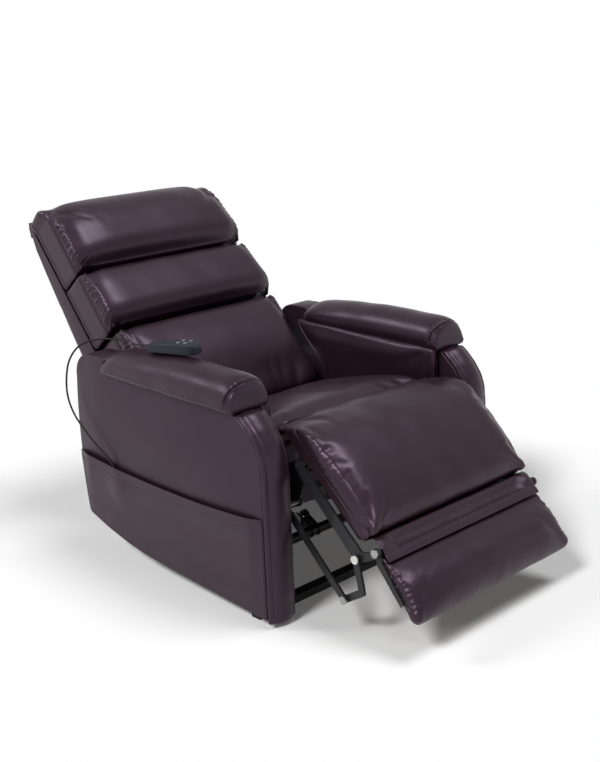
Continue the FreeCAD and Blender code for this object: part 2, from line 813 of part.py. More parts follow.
def seat_front_roll():
    reach = size.leg_end_radius + size.side_gap

    def profile(x, drawn):
        p = on_x(x)
        hinge = (size.leg_hinge_y, size.leg_hinge_z, reach)
        top = p(*on_circle(*hinge, size.roll_top_angle - 2 * drawn))
        middle = p(*on_circle(*hinge, (size.roll_top_angle + size.roll_low_angle) / 2))
        low = p(*on_circle(*hinge, size.roll_low_angle))
        rear = size.seat_front_y - size.fit_gap
        rear_low = p(rear, size.seat_front_z - size.roll_depth)
        rear_top = p(rear, size.seat_front_z - size.edge_fall * drawn)
        over = p((rear + top.y) / 2, (rear_top.z + top.z) / 2 + size.edge_fall * (1.5 - drawn))
        return [arc(top, middle, low), line(low, rear_low), line(rear_low, rear_top), arc(rear_top, over, top)]

    solid("seat_front_roll", crowned(size.seat_half_width, profile))


# Arms
def arm_outline(inset=0):
    """The arm's side view behind its front band: a wire at x = 0, drawn in by a wall."""
    front = size.arm_front_y + size.band_depth
    radius = size.arm_front_bend_radius - size.band_depth
    bend = math.radians(size.arm_front_bend_angle)
    p = on_x(0)
    start = p(front, size.arm_front_bend_z)
    middle = p(front + radius * (1 - math.cos(bend / 2)), start.z + radius * math.sin(bend / 2))
    end = p(front + radius * (1 - math.cos(bend)), start.z + radius * math.sin(bend))
    shoulder_z = size.arm_pad_bottom_z - size.fit_gap
    shoulder = p(end.y + (shoulder_z - end.z) * math.tan(bend), shoulder_z)
    rest = p(size.arm_pad_rear_y + 1, shoulder_z)
    step = p(size.arm_pad_rear_y + 2, size.arm_hump_top_z - size.arm_hump_round / 3)
    hump_front = p(size.arm_pad_rear_y + size.arm_hump_round, size.arm_hump_top_z)
    hump_rear = p(size.arm_rear_y - size.arm_corner, size.arm_hump_top_z - 2)
    corner = p(size.arm_rear_y - 0.34 * size.arm_corner, size.arm_hump_top_z - 0.29 * size.arm_corner)
    rear_top = p(size.arm_rear_y - size.arm_rear_lean / 3, size.arm_hump_top_z - size.arm_corner)
    rear_middle = p(size.arm_rear_y + 4, size.arm_waist_z)
    rear_low = p(size.arm_rear_y - size.arm_rear_lean, size.arm_bottom_rear_z)
    belly = p(size.arm_belly_y, (size.arm_bottom_front_z + size.arm_bottom_rear_z) / 2 - 2)
    low_middle = p(size.arm_low_y, size.arm_bottom_front_z + size.band_depth)
    front_low = p(front, size.arm_bottom_front_z)
    edges = [line(front_low, start), arc(start, middle, end), line(end, shoulder), line(shoulder, rest),
             line(rest, step), line(step, hump_front), line(hump_front, hump_rear),
             arc(hump_rear, corner, rear_top), arc(rear_top, rear_middle, rear_low),
             arc(rear_low, belly, low_middle), line(low_middle, front_low)]
    wire = Part.Wire(edges)
    return Part.Face(wire).makeOffset2D(-inset) if inset else Part.Face(wire)


def pair(label, shape):
    """A piece on the sitter's right and its mirror image on the left."""
    solid(label + "_right", shape)
    solid(label + "_left", shape.mirror(Vector(), X_AXIS))


def twins(label, shape):
    """A piece and its mirror image in one node."""
    solid(label, Part.makeCompound([shape, shape.mirror(Vector(), X_AXIS)]))


def arm_shells():
    """A hollow panelled arm, open underneath."""
    width = size.arm_outer_x - size.arm_inner_x
    outer = arm_outline().extrude(Vector(-width, 0, 0))
    inner = arm_outline(size.arm_wall)
    inner.translate(Vector(-size.arm_wall, 0, 0))
    hollow = inner.extrude(Vector(2 * size.arm_wall - width, 0, 0))
    below = hollow.copy()
    below.translate(Vector(0, 0, -2 * size.arm_wall))
    shell = outer.cut(hollow.fuse(below))
    shell.translate(Vector(-size.arm_inner_x, 0, 0))
    pair("arm_shell", shell)


def front_band():
    """A crowned padded strip up the arm's front, from the floor to the arm pad."""
    base_y = size.arm_front_y + size.band_depth
    radius = size.arm_front_bend_radius - size.band_depth
    bend = math.radians(size.arm_front_bend_angle)
    centre = -(size.arm_outer_x + size.arm_inner_x) / 2
    half = (size.arm_outer_x - size.arm_inner_x) / 2
    edge = half - size.band_round
    shoulder = base_y - size.band_depth + size.band_crown
    side = base_y - size.band_depth / 2

    def at(x, y):
        return Vector(centre + x, y, size.band_bottom_z)

    section = Part.Wire([
        line(at(-half, base_y), at(half, base_y)),
        arc(at(half, base_y), at(half + 1, side), at(edge, shoulder)),
        arc(at(edge, shoulder), at(0, size.arm_front_y), at(-edge, shoulder)),
        arc(at(-edge, shoulder), at(-half - 1, side), at(-half, base_y))])
    p = on_x(centre)
    low = p(base_y, size.band_bottom_z)
    start = p(base_y, size.arm_front_bend_z)
    middle = p(base_y + radius * (1 - math.cos(bend / 2)), start.z + radius * math.sin(bend / 2))
    end = p(base_y + radius * (1 - math.cos(bend)), start.z + radius * math.sin(bend))
    far = end + Vector(0, math.sin(bend), math.cos(bend)) * size.arm_pad_half_width
    path = Part.Wire([line(low, start), arc(start, middle, end), line(end, far)])
    strip = path.makePipeShell([section], True, False)
    corner = Vector(centre - 2 * half, size.arm_front_y, size.arm_pad_bottom_z - size.fit_gap)
    above = Part.makeBox(4 * half, 2 * size.arm_front_bend_radius, size.arm_front_bend_radius, corner)
    twins("arm_front_bands", strip.cut(above))


def arm_pads():
    """A domed armrest pad with a crescent front end and a falling rear end."""
    bottom = size.arm_pad_bottom_z
    long, high = size.arm_pad_rear_y - size.arm_pad_front_y, size.arm_pad_top_z - bottom

    def section(along):
        """The cross-section at a share of the length: drawn in at the front, low and narrow at the rear."""
        nose, tail = max(0, 1 - along / 0.16), max(0, (along - 0.37) / 0.63)
        narrower = 0.12 * nose ** 3 + 0.11 * tail ** 6
        lower = 0.19 * nose ** 3 + 0.27 * tail ** 1.7 + 0.23 * tail ** 14
        y = size.arm_pad_front_y + along * long
        half, top = size.arm_pad_half_width * (1 - narrower), bottom + high * (1 - lower)
        side = bottom + 0.55 * (top - bottom)

        def q(x, z):
            return Vector(x - size.arm_pad_centre_x, y, z)

        return Part.Wire([line(q(-half, bottom), q(half, bottom)),
                          arc(q(half, bottom), q(half + 3, (bottom + side) / 2), q(half - 2, side)),
                          arc(q(half - 2, side), q(0, top), q(2 - half, side)),
                          arc(q(2 - half, side), q(-half - 3, (bottom + side) / 2), q(-half, bottom))])

    stations = (0, 0.03, 0.08, 0.16, 0.3, 0.5, 0.7, 0.85, 0.94, 1)
    pair("arm_pad", Part.makeLoft([section(along) for along in stations], True, False))


def inner_arm_pads():
    """The padded inner side of the arm, between the arm shell and the seat."""
    back_face = size.arm_inner_x - size.side_gap
    low, high = size.inner_pad_bottom_z, size.arm_pad_bottom_z - size.fit_gap
    thick = back_face - size.inner_pad_face_x
    long = size.inner_pad_rear_y - size.inner_pad_front_y

    def section(along, thinner, cut_up):
        """One station: its share of the length, what its face lacks, and the share its foot is raised by."""
        y = size.inner_pad_front_y + along * long
        face, lower = thick - thinner, low + cut_up * (high - low)

        def q(x, z):
            return Vector(x - back_face, y, z)

        return Part.Wire([line(q(0, lower), q(0, high)), line(q(0, high), q(face - size.inner_pad_round, high)),
                          arc(q(face - size.inner_pad_round, high), q(face, (lower + high) / 2),
                              q(face - size.inner_pad_round, lower)),
                          line(q(face - size.inner_pad_round, lower), q(0, lower))])

    stations = [(0, 8, 0.34), (0.13, 1, 0.11), (0.51, 0, 0), (1, 2, 0)]
    twins("inner_arm_pads", Part.makeLoft([section(*station) for station in stations], True, False))


def side_pocket():
    """A flat magazine pocket sewn over the lower part of the right arm panel, open at its top."""
    panel = arm_outline()
    box = panel.BoundBox
    deep = size.pocket_depth
    p = on_x(0)
    front, rear, below = box.YMin - 5, box.YMax + 5, box.ZMin - 5
    top, sag = size.pocket_top_front_z, size.pocket_top_front_z - size.pocket_sag
    mask = Part.Face(Part.Wire([arc(p(front, top), p((front + rear) / 2, sag), p(rear, top)),
                                line(p(rear, top), p(rear, below)), line(p(rear, below), p(front, below)),
                                line(p(front, below), p(front, top))]))
    outer = panel.common(mask).extrude(Vector(-deep, 0, 0))
    inner = arm_outline(size.arm_wall).extrude(Vector(size.pocket_skin - deep, 0, 0))
    pocket = outer.cut(inner)
    pocket.translate(Vector(-size.arm_outer_x - size.fit_gap, 0, 0))
    solid("side_pocket", pocket)


# Back: frame, brackets, shell and three cushions, in the frame of its hinge
def local_tube(name, x, y, z, along):
    """A square steel tube of the back frame, open at both ends."""
    outer = block(name + "_outer", x, y, z)
    wall = "tube_wall"
    shrink = [("%s + %s" % (low, wall), "%s - %s" % (high, wall)) for low, high in (x, y, z)]
    shrink[along] = (x, y, z)[along]
    return cut(name, outer, block(name + "_bore", *shrink))


def back_frame():
    high = "back_tube_x + back_tube"
    depth = ("back_tube_y", "back_tube_y + back_tube")
    parts = []
    for side, x in (("left", ("back_tube_x", high)), ("right", ("-(%s)" % high, "-back_tube_x"))):
        parts.append(local_tube("back_upright_" + side, x, depth, ("back_frame_low", "back_frame_high"), 2))
    for number, z in enumerate(("back_rail_low", "back_rail_middle", "back_frame_high - 2 * back_tube")):
        rail = local_tube("back_rail_%d" % number, ("-back_tube_x", "back_tube_x"), depth,
                          (z, z + " + back_tube"), 0)
        parts.append(rail)
    frame = node(joined("back_frame_solid", parts), "back_frame")
    frame.Placement = back_place()


def back_brackets():
    hub = "back_bracket_hub"
    outline = [("-0.4 * " + hub, "-0.8 * " + hub), ("back_tube_y + back_tube", "back_frame_low"),
               ("back_tube_y + back_tube", "back_frame_low + back_tube + 9"),
               ("back_tube_y", "back_frame_low + back_tube + 1"), ("-0.8 * " + hub, "0.5 * " + hub)]
    hinge = ("back_hinge_y", "back_hinge_z")
    tube = ("drive_tube_y", "drive_tube_z")
    turning = "pin_radius + running_clearance"
    parts = []
    for side, x in (("left", "back_bracket_x"), ("right", "-back_bracket_x - plate")):
        plate = plate_body("back_bracket_plate_" + side, outline, [("0", "0", hub)], [("0", "0", turning)],
                           "plate")
        parts.append(set_body(plate, x, size.back_hinge_y, size.back_hinge_z, -size.back_tilt))
        parts.append(link_bar("back_lever_" + side, hinge, tube, "back_lever_width", "plate", x, turning, None))
    parts.append(rod("drive_tube", "drive_tube_radius", ("-back_bracket_x", "back_bracket_x"), *tube))
    for side, x in (("left", "lug_gap"), ("right", "-lug_gap - plate")):
        parts.append(link_bar("recline_lug_" + side, tube, ("recline_lug_y", "recline_lug_z"),
                              "2 * recline_lug_radius", "plate", x, None, "pin_radius + recline_lug_slack"))
    node(joined("back_brackets_solid", parts), "back_brackets")


def back_shell():
    """The upholstered outside of the back: a thin shell, open in front and at the bottom."""
    half, wall = size.back_half_width - 2, size.shell_wall
    front, top, low = size.shell_front, size.shell_top, size.shell_bottom
    middle_y = (size.shell_rear_top + size.shell_rear_bottom) / 2 + 4

    def outline(inset, open_by, x):
        p = on_x(x)
        rear_low = p(size.shell_rear_bottom - inset, low - open_by)
        rear_top = p(size.shell_rear_top - inset, top - 12 - inset)
        round_top = p(size.shell_rear_top - inset - 12, top - inset)
        corner = p(size.shell_rear_top - inset - 3.5, top - inset - 3.5)
        bulge = p(middle_y - inset, (low + top) / 2)
        front_top = p(front - open_by, top - inset)
        front_low = p(front - open_by, low - open_by)
        edges = [line(front_low, rear_low), arc(rear_low, bulge, rear_top), arc(rear_top, corner, round_top),
                 line(round_top, front_top), line(front_top, front_low)]
        return Part.Face(Part.Wire(edges))

    outer = outline(0, 0, -half).extrude(Vector(2 * half, 0, 0))
    rear_edges = [edge for edge in outer.Edges
                  if abs(abs(edge.CenterOfMass.x) - half) < 1 and edge.CenterOfMass.y > front + wall
                  and edge.BoundBox.ZLength > (top - low) / 2]
    outer = outer.makeFillet(size.shell_round, rear_edges)
    inner = outline(wall, 1, wall - half).extrude(Vector(2 * (half - wall), 0, 0))
    solid("back_shell", outer.cut(inner), back_place())


def back_cushions():
    rear = size.cushion_rear
    gap = size.fit_gap / 2
    upper, lower = size.upper_channel, size.lower_channel
    channel, fold = -size.channel_front, -size.fold_front

    def head(x, drawn):
        p, full = on_x(x), 1 - drawn
        low, high = p(rear, upper + gap), p(rear, size.back_top - size.crest_fall)
        crest = p(-size.crest_front, size.back_top - size.edge_fall * drawn)
        brow_z = size.back_top - size.brow_drop + size.brow_rise * full
        brow = p(-size.brow_front - size.pad_crown * full, brow_z)
        foot = p(channel + 3 * drawn, upper + gap)
        forehead = p(-0.67 * size.brow_front - 3 * full, size.back_top - size.forehead_drop * (1 - 0.7 * full))
        cheek = p(-size.head_bulge - size.pad_crown * full, upper + 0.28 * (size.back_top - upper))
        return [line(low, high), arc(high, p(rear / 2, size.back_top - 2 - size.edge_fall * drawn), crest),
                arc(crest, forehead, brow), arc(brow, cheek, foot), line(foot, low)]

    def middle(x, drawn):
        p, full = on_x(x), 1 - drawn
        high, low = p(rear, upper - gap), p(rear, lower + gap)
        top, foot = p(channel + 3 * drawn, upper - gap), p(fold + 3 * drawn, lower + gap)
        belly = p(-size.middle_bulge - size.pad_crown * full, (upper + lower) / 2)
        return [arc(top, belly, foot), line(foot, low), line(low, high), line(high, top)]

    def lumbar(x, drawn):
        p, full = on_x(x), 1 - drawn
        top = p(fold + 3 * drawn, lower - gap)
        belly = p(-size.lumbar_bulge - (size.pad_crown - 1) * full, size.lumbar_belly)
        knee = p(2 * drawn - size.knee_front, 2 * drawn - size.knee_low)
        toe = p(-size.toe_front, 3 * drawn - size.toe_low)
        shin = p((knee.y + toe.y) / 2 - 1.5, (knee.z + toe.z) / 2 - 1)
        notch_low, notch_high = p(-size.notch_low_y, -size.notch_low_z), p(-20, size.notch_high_z)
        over = p(-10, size.notch_high_z + 2)
        ledge, high = p(rear, size.lumbar_ledge), p(rear, lower - gap)
        return [arc(top, belly, knee), arc(knee, shin, toe), line(toe, notch_low),
                arc(notch_low, p(-size.hinge_notch, 10), notch_high), line(notch_high, over), line(over, ledge),
                line(ledge, high), line(high, top)]

    solid("head_cushion", crowned(size.back_half_width, head), back_place())
    solid("middle_cushion", crowned(size.back_half_width, middle), back_place())
    solid("lumbar_cushion", crowned(size.lumbar_half_width, lumbar), back_place())


# Footrest: calf section on its rails, foot section folding at their ends
def leg_frame():
    rail = [("0", "-rail_width / 2"), ("0", "rail_width / 2"),
            ("-foot_hinge_along + rail_width", "rail_width / 2"),
            ("-foot_hinge_along - foot_hub / 2", "foot_hinge_up + 0.8 * foot_hub"),
            ("-foot_hinge_along - foot_hub", "foot_hinge_up - foot_hub / 2"),
            ("-rail_pivot_along - rail_width / 2", "-rail_pivot_down"),
            ("-rail_pivot_along", "-rail_pivot_down - small_hub")]
    hubs = [("0", "0", "rail_width / 2"), ("-foot_hinge_along", "foot_hinge_up", "foot_hub"),
            ("-rail_pivot_along", "-rail_pivot_down", "rail_width / 2")]
    holes = [("0", "0", "pin_radius + running_clearance"),
             ("-foot_hinge_along", "foot_hinge_up", "link_pin_radius + running_clearance"),
             ("-rail_pivot_along", "-rail_pivot_down", "link_pin_radius + running_clearance")]
    parts = []
    for side, x in (("left", "leg_rail_x"), ("right", "-leg_rail_x - plate")):
        plate = plate_body("leg_rail_plate_" + side, rail, hubs, holes, "plate")
        parts.append(set_body(plate, x, size.leg_hinge_y, size.leg_hinge_z, size.leg_tilt))
    for number, along in enumerate((size.leg_bar_first, size.leg_bar_second)):
        bar = doc.addObject("Part::Box", "leg_cross_bar_%d" % number)
        bind(bar, Length="2 * leg_rail_x + 2", Width="link_width", Height="rail_width / 2 - 0.5")
        corner = Vector(-size.leg_rail_x - 1, -along, 1 - size.rail_width / 2)
        bar.Placement = leg_place().multiply(Placement(corner, Rotation()))
        parts.append(bar)
    node(joined("leg_frame_solid", parts), "leg_frame")


def foot_fold():
    """The hinge pins and side arms of the foot section."""
    hinge = leg_place().multVec(Vector(0, -size.foot_hinge_along, size.foot_hinge_up))
    y, z = "%.6f" % hinge.y, "%.6f" % hinge.z
    pins = pin_pair("foot_hinge_pin", y, z, "foot_arm_x", "leg_rail_x + plate", "link_pin_radius")
    node(grouped("foot_hinge_pins_group", pins), "foot_hinge_pins")
    half = "foot_arm_hub"
    outline = [("0", "-" + half), ("0", half), ("-2.5 * " + half, "-0.5 * " + half),
               ("-foot_arm_long", "-" + half), ("-foot_arm_long", "-foot_underside"),
               ("-2.5 * " + half, "-foot_underside")]
    arms = []
    for side, x in (("left", "foot_arm_x"), ("right", "-foot_arm_x - plate")):
        arm = plate_body("foot_arm_plate_" + side, outline, [("0", "0", half)],
                         [("0", "0", "link_pin_radius + running_clearance")], "plate")
        place_at = foot_place()
        arms.append(set_body(arm, x, place_at.Base.y, place_at.Base.z, size.leg_tilt + size.foot_tilt))
    node(grouped("foot_side_arms_group", arms), "foot_side_arms")


def board_half_width():
    """The footrest's boards pass between the heads of the side plates' pins."""
    return size.side_plate_x - size.head_thickness - size.board_clearance


def leg_pads():
    half = board_half_width()
    under, top = size.calf_underside, size.calf_top
    end, radius = size.calf_length, size.leg_end_radius
    corner = math.degrees(math.asin(under / radius))

    def calf(x, drawn):
        p, full = on_x(x), 1 - drawn
        heel, toe = p(21 - end, under), p(-end, size.calf_toe)
        lip = p(6 - end, top - 20 + 3 * full)
        low_top = p(31 - end, top - 15 + 5 * full)
        crest = p(-0.43 * end, top - 2 + 5 * full)
        over = p(0, top - 7 + 3 * full)
        brow = p(0.32 * radius, 0.9 * radius + full)
        shoulder, tail = p(*on_circle(0, 0, radius, size.shoulder_angle)), p(*on_circle(0, 0, radius, corner))
        rim = p(*on_circle(0, 0, radius, (size.shoulder_angle + corner) / 2))
        return [line(tail, heel), line(heel, toe), arc(toe, p(1 - end, size.calf_toe_belly + 2 * full), lip),
                arc(lip, p(15 - end, top - 16 + 4 * full), low_top), arc(low_top, crest, over),
                line(over, brow), line(brow, shoulder), arc(shoulder, rim, tail)]

    solid("calf_pad", crowned(size.leg_half_width, calf), leg_place())
    calf_corner = Vector(-half, size.calf_board_start - end, 1)
    board = Part.makeBox(2 * half, size.calf_board_long, under - 1 - size.fit_gap, calf_corner)
    solid("calf_board", board, leg_place())

    def foot(x, drawn):
        p, full = on_x(x), 1 - drawn
        low, long = size.foot_board_thickness - size.foot_underside + size.fit_gap, size.foot_long
        start, heel = p(size.edge_fall, low), p(-size.foot_heel_along, 3 * (1 + full))
        crown = p(-long / 2, size.foot_crown - 2 * drawn + 6 * full)
        front, tip = p(19 - long, 8 + 4 * full), p(-long - 3 * full, low + 4)
        nose, under_tip = p(5 - long - 3 * full, 2 * full), p(9 - long, low)
        return [line(start, heel), arc(heel, crown, front), arc(front, nose, tip), line(tip, under_tip),
                line(under_tip, start)]

    solid("foot_pad", crowned(size.foot_half_width, foot), foot_place())
    foot_corner = Vector(-half, -size.foot_board_end, -size.foot_underside)
    board = Part.makeBox(2 * half, size.foot_board_end - 2 * size.edge_fall, size.foot_board_thickness, foot_corner)
    solid("foot_board", board, foot_place())
    high, across = size.foot_rail_high, half + size.foot_rail_wide / 2
    low = -size.foot_underside - high - size.fit_gap
    rails = [Part.makeBox(size.foot_rail_wide, size.foot_rail_long, high,
                          Vector(side * across - size.foot_rail_wide / 2, -size.foot_board_end - 6, low))
             for side in (-1, 1)]
    solid("foot_rails", Part.makeCompound(rails), foot_place())


def foot_flap():
    """The vinyl skirt that covers the gap between the two footrest pads."""
    half = size.foot_half_width - 1
    p = on_x(-half)
    hem, hem_under = p(size.flap_hem, size.flap_hem_outer), p(size.flap_hem_under, size.flap_hem_inner)
    rise, rise_under = p(size.flap_rise, size.flap_rise_outer), p(size.flap_rise_under, size.flap_rise_inner)
    bend, bend_under = p(-size.flap_bend, size.flap_bend_outer), p(-size.flap_bend_under, size.flap_bend_inner)
    reach, reach_under = p(-size.flap_reach, size.flap_reach_outer), p(-size.flap_reach, size.flap_reach_inner)
    crest, crest_under = p(size.flap_crest, size.flap_crest_outer), p(size.flap_crest, size.flap_crest_inner)
    outer = [line(hem, rise), arc(rise, crest, bend), line(bend, reach)]
    inner = [line(reach_under, bend_under), arc(bend_under, crest_under, rise_under), line(rise_under, hem_under)]
    join = [line(reach, reach_under), line(hem_under, hem)]
    face = Part.Face(Part.Wire(Part.__sortEdges__(outer + inner + join)))
    local = Placement(Vector(0, -size.foot_hinge_along, size.foot_hinge_up), Rotation())
    solid("foot_flap", face.extrude(Vector(2 * half, 0, 0)), leg_place().multiply(local))


# Links that carry the ottoman rails
def ottoman_links():
    carried = leg_place().multVec(Vector(0, -size.rail_pivot_along, -size.rail_pivot_down))
    chair = Vector(0, size.upper_link_chair_y, size.upper_link_chair_z)
    elbow = chair + carried - Vector(0, size.leg_hinge_y, size.leg_hinge_z)
    bend = elbow + Vector(0, size.link_bend_y, size.link_bend_z)
    snug = "link_pin_radius + running_clearance"
    uppers, lowers, elbows, bushings = [], [], [], []
    for side, sign in (("left", 1), ("right", -1)):
        upper_x = "upper_link_x" if sign > 0 else "-upper_link_x - plate"
        lower_x = "lower_link_x" if sign > 0 else "-lower_link_x - plate"
        uppers.append(spot_bar("upper_link_" + side, chair, elbow, upper_x, "pin_radius + running_clearance",
                               snug))
        first = spot_bar("lower_link_low_" + side, elbow, bend, lower_x, snug, None)
        last = spot_bar("lower_link_high_" + side, bend, carried, lower_x, None,
                        "link_pin_radius + link_open_clearance")
        lowers.append(joined("lower_link_" + side, [first, last]))
    node(grouped("upper_leg_links_group", uppers), "upper_leg_links")
    node(grouped("lower_leg_links_group", lowers), "lower_leg_links")
    y, z = "%.6f" % elbow.y, "%.6f" % elbow.z
    node(grouped("link_elbow_pins_group", pin_pair("elbow_pin", y, z, "lower_link_x", "upper_link_x + plate",
                                                   "link_pin_radius")), "link_elbow_pins")
    y, z = "%.6f" % carried.y, "%.6f" % carried.z
    for side, sign in (("left", 1), ("right", -1)):
        shank_x = ("leg_rail_x", "lower_link_x + plate + fit_gap")
        knob_x = ("lower_link_x + plate + fit_gap", "lower_link_x + plate + head_thickness")
        if sign < 0:
            shank_x, knob_x = [("-(%s)" % high, "-(%s)" % low) for low, high in (shank_x, knob_x)]
        shank = rod("bushing_shank_" + side, "link_pin_radius", shank_x, y, z)
        knob = rod("bushing_knob_" + side, "head_radius", knob_x, y, z)
        bushings.append(joined("bushing_" + side, [shank, knob]))
    node(grouped("nylon_bushings_group", bushings), "nylon_bushings")


# Actuators: a housing on a pin, a hollow tube and a rod that slides in it
def actuator(label, start, end):
    """Start is the pivot on the frame and end is the pivot that is driven, both as (y, z) aliases."""
    base = Vector(0, *spot_of(start))
    run = Vector(0, *spot_of(end)) - base
    placed = Placement(base, Rotation(X_AXIS, math.degrees(math.atan2(run.z, run.y))))
    length = run.Length
    half_eye = size.motor_ear_gap - size.fit_gap
    body = size.motor_body_radius
    box_end = size.gearbox_start + size.gearbox_long
    can_start = box_end + size.fit_gap
    clear = size.pin_radius + size.running_clearance

    def tube(radius, low, high, x=0):
        return Part.makeCylinder(radius, high - low, Vector(x, low, 0), Vector(0, 1, 0))

    def crosswise(radius, half, at):
        return Part.makeCylinder(radius, 2 * half, Vector(-half, at, 0), X_AXIS)

    neck_half = size.motor_rod_radius
    neck = Part.makeBox(2 * half_eye, size.gearbox_start + 1, 2 * neck_half, Vector(-half_eye, 0, -neck_half))
    gearbox = Part.makeBox(size.gearbox_wide, size.gearbox_long, size.gearbox_high,
                           Vector(1 - body, size.gearbox_start, -size.gearbox_high / 2))
    sleeve = tube(size.motor_sleeve_radius, box_end - 1, length - size.sleeve_short)
    housing = crosswise(size.motor_eye_radius, half_eye, 0).fuse([neck, gearbox, sleeve])
    bore = tube(size.motor_rod_radius + size.running_clearance, box_end + size.motor_rod_radius, length)
    solid(label + "_housing", housing.cut(crosswise(clear, half_eye + 1, 0)).cut(bore), placed)
    can = tube(body - 1, can_start, can_start + size.motor_can_long, size.motor_can_offset)
    solid(label + "_can", can, placed)
    half_lug = size.lug_gap - size.fit_gap
    slider = tube(size.motor_rod_radius, length - size.rod_long, length - size.rod_eye_radius / 2)
    rod_end = slider.fuse(crosswise(size.rod_eye_radius, half_lug, length))
    solid(label + "_rod", rod_end.cut(crosswise(clear, half_lug + 1, length)), placed)


def through_pin(label, half, y, z):
    """A pin across the middle of the chair with a head at each end."""
    shank = rod(label + "_shank", "pin_radius", ("-(%s)" % half, half), y, z)
    heads = [rod("%s_head_%s" % (label, side), "head_radius", x, y, z)
             for side, x in (("left", (half, "%s + head_thickness" % half)),
                             ("right", ("-(%s) - head_thickness" % half, "-(%s)" % half)))]
    return joined(label + "_solid", [shank] + heads)


def actuators():
    tail = "motor_ear_gap + plate + fit_gap"
    lift_pin = through_pin("lift_motor_pin", tail, "lift_motor_base_y", "lift_motor_base_z")
    node(lift_pin, "lift_motor_pin")
    node(through_pin("recline_motor_pin", tail, "recline_motor_y", "recline_motor_z"), "recline_motor_pin")
    actuator("lift_motor", ("lift_motor_base_y", "lift_motor_base_z"), ("lift_lug_y", "lift_lug_z"))
    actuator("recline_motor", ("recline_motor_y", "recline_motor_z"), ("recline_lug_y", "recline_lug_z"))
    for label, slack in (("lift", "lift_lug_slack"), ("recline", "recline_lug_slack")):
        half = "lug_gap + plate + fit_gap"
        y, z = label + "_lug_y", label + "_lug_z"
        shank = rod(label + "_rod_pin_shank", "pin_radius", ("-(%s)" % half, half), y, z)
        washers = [rod("%s_rod_washer_%s" % (label, side), "pin_radius + 2 * " + slack, x, y, z)
                   for side, x in (("left", (half, half + " + washer")),
                                   ("right", ("-(%s) - washer" % half, "-(%s)" % half)))]
        node(joined(label + "_rod_pin_solid", [shank] + washers), label + "_rod_pin")


# Handset with four sprung buttons, and its cord
def handset_place():
    flat = Rotation(Vector(0, 0, 1), size.handset_turn)
    tipped = Rotation(X_AXIS, -size.handset_tip)
    return Placement(Vector(-size.handset_x, size.handset_y, size.handset_z), flat.multiply(tipped))


def handset_plan(nose, tail):
    """The handset from above: round at its nose and narrower at the cord's end."""
    half, end = size.handset_width / 2, size.handset_tail_width / 2

    def p(x, y):
        return Vector(x, y, 0)

    waist = half - (half - end) / 4
    widest, middle = nose + half, (nose + half + tail) / 2
    edges = [line(p(-end, tail), p(end, tail)), arc(p(end, tail), p(waist, middle), p(half, widest)),
             arc(p(half, widest), p(0, nose), p(-half, widest)),
             arc(p(-half, widest), p(-waist, middle), p(-end, tail))]
    return Part.Face(Part.Wire(edges)).extrude(Vector(0, 0, size.handset_height))


def handset_side(nose, tail):
    """The handset from the side: level under its keys, and falling to both ends."""
    high, half = size.handset_height, size.handset_width
    nose_top, tail_top = size.handset_nose_height, size.handset_tail_height
    front, rear = nose + size.key_start - size.button_pitch / 2, nose + size.key_start + 2 * size.button_pitch
    p = on_x(-half)
    first, last = nose - 1, tail + 1
    outline = [line(p(first, 0), p(first, nose_top)),
               arc(p(first, nose_top), p((first + front) / 2, high - (high - nose_top) / 4), p(front, high)),
               line(p(front, high), p(rear, high)),
               arc(p(rear, high), p((rear + last) / 2, high - (high - tail_top) / 4), p(last, tail_top)),
               line(p(last, tail_top), p(last, 0)), line(p(last, 0), p(first, 0))]
    return Part.Face(Part.Wire(outline)).extrude(Vector(2 * half, 0, 0))


def handset():
    """A case with four sprung keys and the tapered relief where its cord leaves."""
    high = size.handset_height
    nose, tail = -size.handset_length / 2, size.handset_length / 2
    case = handset_plan(nose, tail).common(handset_side(nose, tail))
    rims = [edge for edge in case.Edges if edge.BoundBox.ZMin > size.handset_tail_height / 2]
    case = case.makeFillet(size.handset_top_round, rims)
    case = case.makeFillet(size.handset_foot_round, [edge for edge in case.Edges if edge.BoundBox.ZMax < 0.1])
    spots = [(column * size.button_pitch / 2, nose + size.key_start + row * size.button_pitch)
             for row in (0, 1) for column in (-1, 1)]
    depth = size.button_stem + size.button_travel + size.fit_gap
    for x, y in spots:
        case = case.cut(Part.makeCylinder(size.button_radius + size.running_clearance, depth + 1,
                                          Vector(x, y, high - depth)))
    solid("handset_housing", case, handset_place())
    for label, (x, y) in zip(("back_down", "back_up", "seat_down", "seat_up"), spots):
        stem = Part.makeCylinder(size.button_radius, size.button_stem + size.button_proud,
                                 Vector(x, y, high - size.button_stem))
        solid("button_" + label, stem, handset_place())
    relief = Part.makeCone(size.relief_radius, size.cord_diameter / 2 + 0.7, size.relief_length,
                           Vector(0, tail + size.fit_gap, size.handset_exit_z), Vector(0, 1, 0))
    solid("handset_strain_relief", relief, handset_place())


def rounded_route(points):
    """Straight runs joined by tangent arcs, with the radius of each arc."""
    edges, radii, start = [], [], points[0]
    for before, corner, after in zip(points, points[1:], points[2:]):
        into, out = corner - before, after - corner
        half_turn = into.getAngle(out) / 2
        reach = 0.45 * min(into.Length, out.Length)
        radii.append(reach / math.tan(half_turn))
        a = corner - into.normalize() * reach
        b = corner + out.normalize() * reach
        inward = (out - into).normalize()
        middle = corner + inward * (radii[-1] / math.cos(half_turn) - radii[-1])
        edges += [line(start, a), arc(a, middle, b)]
        start = b
    edges.append(line(start, points[-1]))
    return edges, radii


